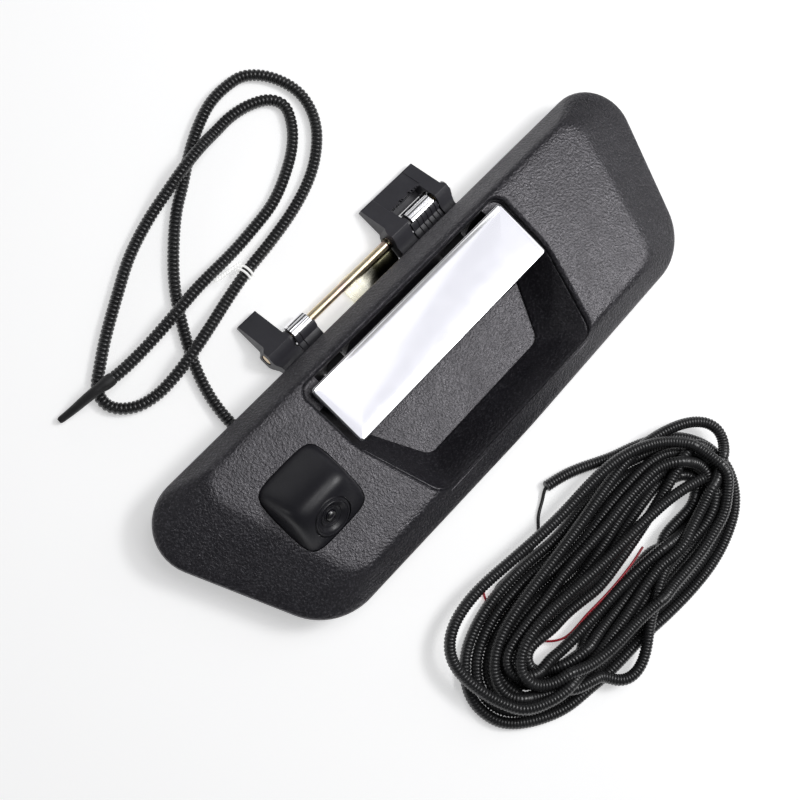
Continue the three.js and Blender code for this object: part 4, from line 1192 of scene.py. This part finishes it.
def make_lever():
    """A zinc sheet that is flat at its left and folded at its right, with a flange that is
    screwed to the left arm and an ear round the pin."""
    half_sheet = 0.5
    across = np.linspace(*LEVER_X, 60)
    along = np.concatenate([[45.5, 50, 53], np.linspace(54, 62, 17), np.linspace(62.6, 68, 9)])
    sheet = np.array([lever_point(x, y) for y in along for x in across])
    n, m = len(across), len(along)
    faces = []
    shift = n * m
    for r in range(m - 1):
        for c in range(n - 1):
            a = r * n + c
            faces.append((a, a + 1, a + n + 1, a + n))
            faces.append((shift + a, shift + a + n, shift + a + n + 1, shift + a + 1))
    rim = list(range(n)) + [r * n + n - 1 for r in range(1, m)]
    rim += [(m - 1) * n + c for c in range(n - 2, -1, -1)] + [r * n for r in range(m - 2, 0, -1)]
    for a, b in zip(rim, rim[1:] + rim[:1]):
        faces.append((shift + a, shift + b, b, a))
    base = working(np.concatenate([sheet + (0, 0, half_sheet), sheet - (0, 0, half_sheet)]), faces)
    flange_x = LEFT_ARM[1] - 0.9
    foot = block((flange_x, LEVER_X[0] + 1), (45.6, 53), (0.95, 1.85))
    flange = block((flange_x, flange_x + 1.2), (45.6, 53), (0.95, LEG_Z[1]))
    base = combine(base, [combine(foot, [flange], "UNION")], "UNION")
    ear = (20.8, 21.9)
    base = combine(base, [rod_on_pin(3.5, ear), block(ear, (61.8, 66), (1.6, PIN_Z))], "UNION")
    base = combine(base, [rod_on_pin(2.7, (15, 30))], "DIFFERENCE")
    return release(base, "lever_shell", zinc_sheet, sharp=40)


# ------------------------------------------------------------------ screws, studs, spring
def make_screw(name, spot, z, head, shank, length, turn):
    """A pan head screw with a cross recess: its head is below z and its shank points up,
    unless the matrix turn, which may be None, turns it."""
    ring = circle(1, 36)
    dome = [(0.45, -0.62), (0.7, -0.58), (0.9, -0.45), (1.0, -0.25), (1.0, -0.03), (0.97, 0)]
    rings = [level(ring * head * r, head * h) for r, h in dome]
    rings.append(level(ring * shank, 0))
    pitch = shank * 0.7
    steps = int(length / pitch * 2)
    for k in range(steps):
        rings.append(level(ring * shank * (1 if k % 2 else 0.8), 0.2 + k * (length - 0.6) / steps))
    rings.append(level(ring * shank * 0.4, length))
    base = solid(rings)
    arm, slot = (-head * 0.62, head * 0.62), (-head * 0.13, head * 0.13)
    recess = (-head, -head * 0.26)
    base = combine(base, [block(arm, slot, recess), block(slot, arm, recess)], "DIFFERENCE")
    if turn is not None:
        base.data.transform(turn)
    base.data.transform(Matrix.Translation(Vector((*spot, z)) * MM))
    return release(base, name, steel, sharp=30)


def make_stud(name, spot):
    """A threaded stud with a collar against its boss."""
    sides = 28
    pitch, top_r, depth = 0.9, 2.58, 0.3
    start_z, end_z = 0.5, 14.3
    ring = circle(1, sides)
    phase = np.arange(sides) / sides
    rings = [level(ring * 1.9, 0), level(ring * 2.1, 0.12)]
    for z in np.arange(start_z, end_z, 0.14):
        wave = np.abs(((z / pitch - phase) % 1) * 2 - 1)
        fade = max(min(1, (z - start_z) / 0.8, (end_z - z) / 0.6), 0)
        radii = top_r - depth * wave * fade - 0.2 * (z < 0.7)
        rings.append(level(ring * radii[:, None], z))
    shank, edge, collar = 2.6, 4.4, 4.6
    for r, z in [
        (shank, 14.5), (shank, 15.1), (edge, 15.1), (collar, 15.3), (collar, 16.5), (edge, 16.7),
        (shank, 16.7), (shank, 24.4),
    ]:
        rings.append(level(ring * r, z))
    points, faces = loft([r + (*spot, 0) for r in rings])
    return made_object(name, points, faces, steel, sharp=35)


def make_spring():
    turns, x0, x1, radius = 3.75, 58.6, 64.2, 5
    points = [(56.75, PIN_Y - 13, PIN_Z - 4.9)]
    for k in range(int(turns * 12) + 1):
        a = k / 12 * 2 * math.pi
        x = x0 + (x1 - x0) * k / (turns * 12)
        points.append((x, PIN_Y - radius * math.sin(a), PIN_Z - radius * math.cos(a)))
    return tube("return_spring_wire", smooth_line(points, 0.6), 0.65, steel)


# ------------------------------------------------------------------ pieces
piece(make_bezel(), "bezel", "bezel_plastic", "bezel")
piece(make_hood(), "bezel", "hood_plastic", "camera_hood")
make_lens()
piece(make_paddle(), "handle", "chrome_plate", "handle_paddle")
piece(make_arm("arm_left_shell", LEFT_ARM), "handle", "chrome_plate", "handle_arm_left")
piece(make_arm("arm_right_shell", RIGHT_ARM), "handle", "chrome_plate", "handle_arm_right")
piece(make_left_block(), "bezel", "block_nylon", "pivot_block_left")
piece(make_right_block(), "bezel", "block_nylon", "pivot_block_right")
piece(make_pin(), "bezel", "yellow_zinc", "hinge_pin")
piece(make_spacer("spacer_shell", (-54.7, -52.6)), "bezel", "block_nylon", "spacer_bush")
piece(make_spacer("spacer_right", (35.8, 38.3)), "bezel", "block_nylon")
piece(make_lever(), "handle", "yellow_zinc", "latch_lever")
# Black covers on the arms: a painted dark reflection, standing for the dark that the chrome reflects there.
piece(make_arm_reflection_cover("arm_reflection_cover_left", (-52.7, -38.6), [-48.8]), "handle", "block_nylon")
right_ribs = [41.2, 44.6, 48.0, 51.4, 54.8]
piece(make_arm_reflection_cover("arm_reflection_cover_right", (36.4, 56.8), right_ribs), "handle", "block_nylon")
# Dark sleeves on the legs: painted shade in the narrow window gaps.
piece(make_leg_shade_sleeve("leg_shade_sleeve_left", LEFT_ARM), "handle", "black_rubber")
piece(make_leg_shade_sleeve("leg_shade_sleeve_right", RIGHT_ARM), "handle", "black_rubber")
piece(make_spring(), "bezel", "fastener_steel", "return_spring")
face_up = Matrix.Rotation(math.pi, 4, "X")
face_right = Matrix.Rotation(-math.pi / 2, 4, "Y")
arm_dot = make_screw("arm_insert_screw", (-43.4, 52.6), PIN_Z + 1.5, 1.7, 0.6, 1.6, face_up)
piece(arm_dot, "handle", "fastener_steel")
# Each kind as its name, body, spots, z, head, shank, length and turn.
SCREWS = [
    ("block_screw", "bezel", BLOCK_SCREWS, 5.2, 3, 1.25, 14.5, None),
    ("camera_screw", "bezel", CAMERA_BOSSES, RIM_Z, 2.8, 1.1, 6.4, None),
    ("arm_screw", "handle", ARM_SCREWS, ARM_TOP_Z - 3.3, 2, 0.95, 5, None),
    ("lever_screw", "handle", LEVER_SCREWS, 5.4, 1.7, 0.85, 6, face_right),
]
for kind, body, spots, *sizes in SCREWS:
    for i, spot in enumerate(spots, 1):
        made = make_screw(f"{kind}_{i}_shell", spot, *sizes)
        piece(made, body, "fastener_steel", f"{kind}_{i}")
for i, spot in enumerate(MOUNT_BOSSES, 1):
    piece(make_stud(f"mount_stud_{i}_shell", spot), "bezel", "fastener_steel", f"mount_stud_{i}")


# ------------------------------------------------------------------ floor and light
def make_floor():
    half = 3
    mesh = bpy.data.meshes.new("floor")
    corners = [(-half, -half, 0), (half, -half, 0), (half, half, 0), (-half, half, 0)]
    mesh.from_pydata(corners, [], [(0, 1, 2, 3)])
    look = bpy.data.materials.new("floor_look")
    look.use_nodes = True
    shader = look.node_tree.nodes["Principled BSDF"]
    for socket, value in [
        ("Base Color", (0.92, 0.92, 0.92, 1)), ("Roughness", 0.9), ("Specular IOR Level", 0),
        ("Emission Color", (1, 1, 1, 1)), ("Emission Strength", 0.45),
    ]:
        shader.inputs[socket].default_value = value
    mesh.materials.append(look)
    floor = bpy.data.objects.new("floor", mesh)
    floor.location.z = -0.0004
    bpy.context.scene.collection.objects.link(floor)


def area_light(name, place, aim, size, radiance, colour=(1, 1, 1), turn=0.0):
    """A rectangular panel of an even radiance. turn spins it about its own axis."""
    data = bpy.data.lights.new(name, "AREA")
    data.shape = "RECTANGLE"
    data.size, data.size_y = size
    data.energy = radiance * math.pi * size[0] * size[1]
    data.color = colour
    lamp = bpy.data.objects.new(name, data)
    lamp.location = place
    lamp.rotation_mode = "QUATERNION"
    look = (Vector(aim) - Vector(place)).to_track_quat("-Z", "Y")
    lamp.rotation_quaternion = look @ Quaternion((0, 0, 1), math.radians(turn))
    bpy.context.scene.collection.objects.link(lamp)


make_floor()
world = bpy.data.worlds.new("studio")
world.use_nodes = True
sky = world.node_tree.nodes["Background"]
sky.inputs["Color"].default_value = (0.95, 0.97, 1, 1)
sky.inputs["Strength"].default_value = 0.09
bpy.context.scene.world = world
bpy.context.scene.view_settings.view_transform = "Standard"
area_light("strip", (0.4, -0.035, 1.16), (0.4, -0.035, 0), (1.3, 0.26), 0.88, (0.94, 0.94, 1))
area_light("strip_left", (0.372, 0.124, 1.15), (0.372, 0.124, 0), (0.5, 0.3), 0.26, turn=22)
area_light("strip_right", (0.72, -0.02, 1.15), (0.72, -0.02, 0), (0.16, 0.34), 0.1, turn=-35)
area_light("front", (0.47, -0.4, 1.15), (0.47, -0.4, 0), (0.9, 0.52), 2.1)
area_light("key", (0.6, -0.31, 1.1), (0.6, -0.31, 0), (0.34, 0.34), 13)
area_light("back", (0.35, 0.24, 1.15), (0.35, 0.24, 0), (0.9, 0.32), 1.5)
area_light("fill", (0.1, 0.17, 1.1), (0.1, 0.17, 0), (0.34, 0.2), 2.5)
area_light("right", (1.0, -0.3, 0.75), (0.1, 0, 0), (0.5, 0.8), 0.7)
area_light("low_back", (0.25, 1.3, 0.36), (0, 0.05, 0.02), (1.3, 0.4), 0.6)
area_light("left", (-0.9, 0.56, 0.34), (-0.1, 0, 0.03), (0.16, 0.16), 4)

# ------------------------------------------------------------------ CAD nodes' finishes
LOOKS = {
    "bezel_plastic": grained, "hood_plastic": satin, "block_nylon": nylon, "chrome_plate": chrome,
    "yellow_zinc": zinc, "fastener_steel": steel, "black_rubber": rubber_look,
    "lens_glass": glass_look, "board": board_look, "loom_plastic": loom_look,
    "wire_black": wire_black, "wire_red": wire_red, "tie_white": tie_white,
}
for part in frame["record"]["subparts"]:
    node = frame["nodes"][part["node"]]
    node.data.materials.clear()
    node.data.materials.append(LOOKS[part["material_slot"]])
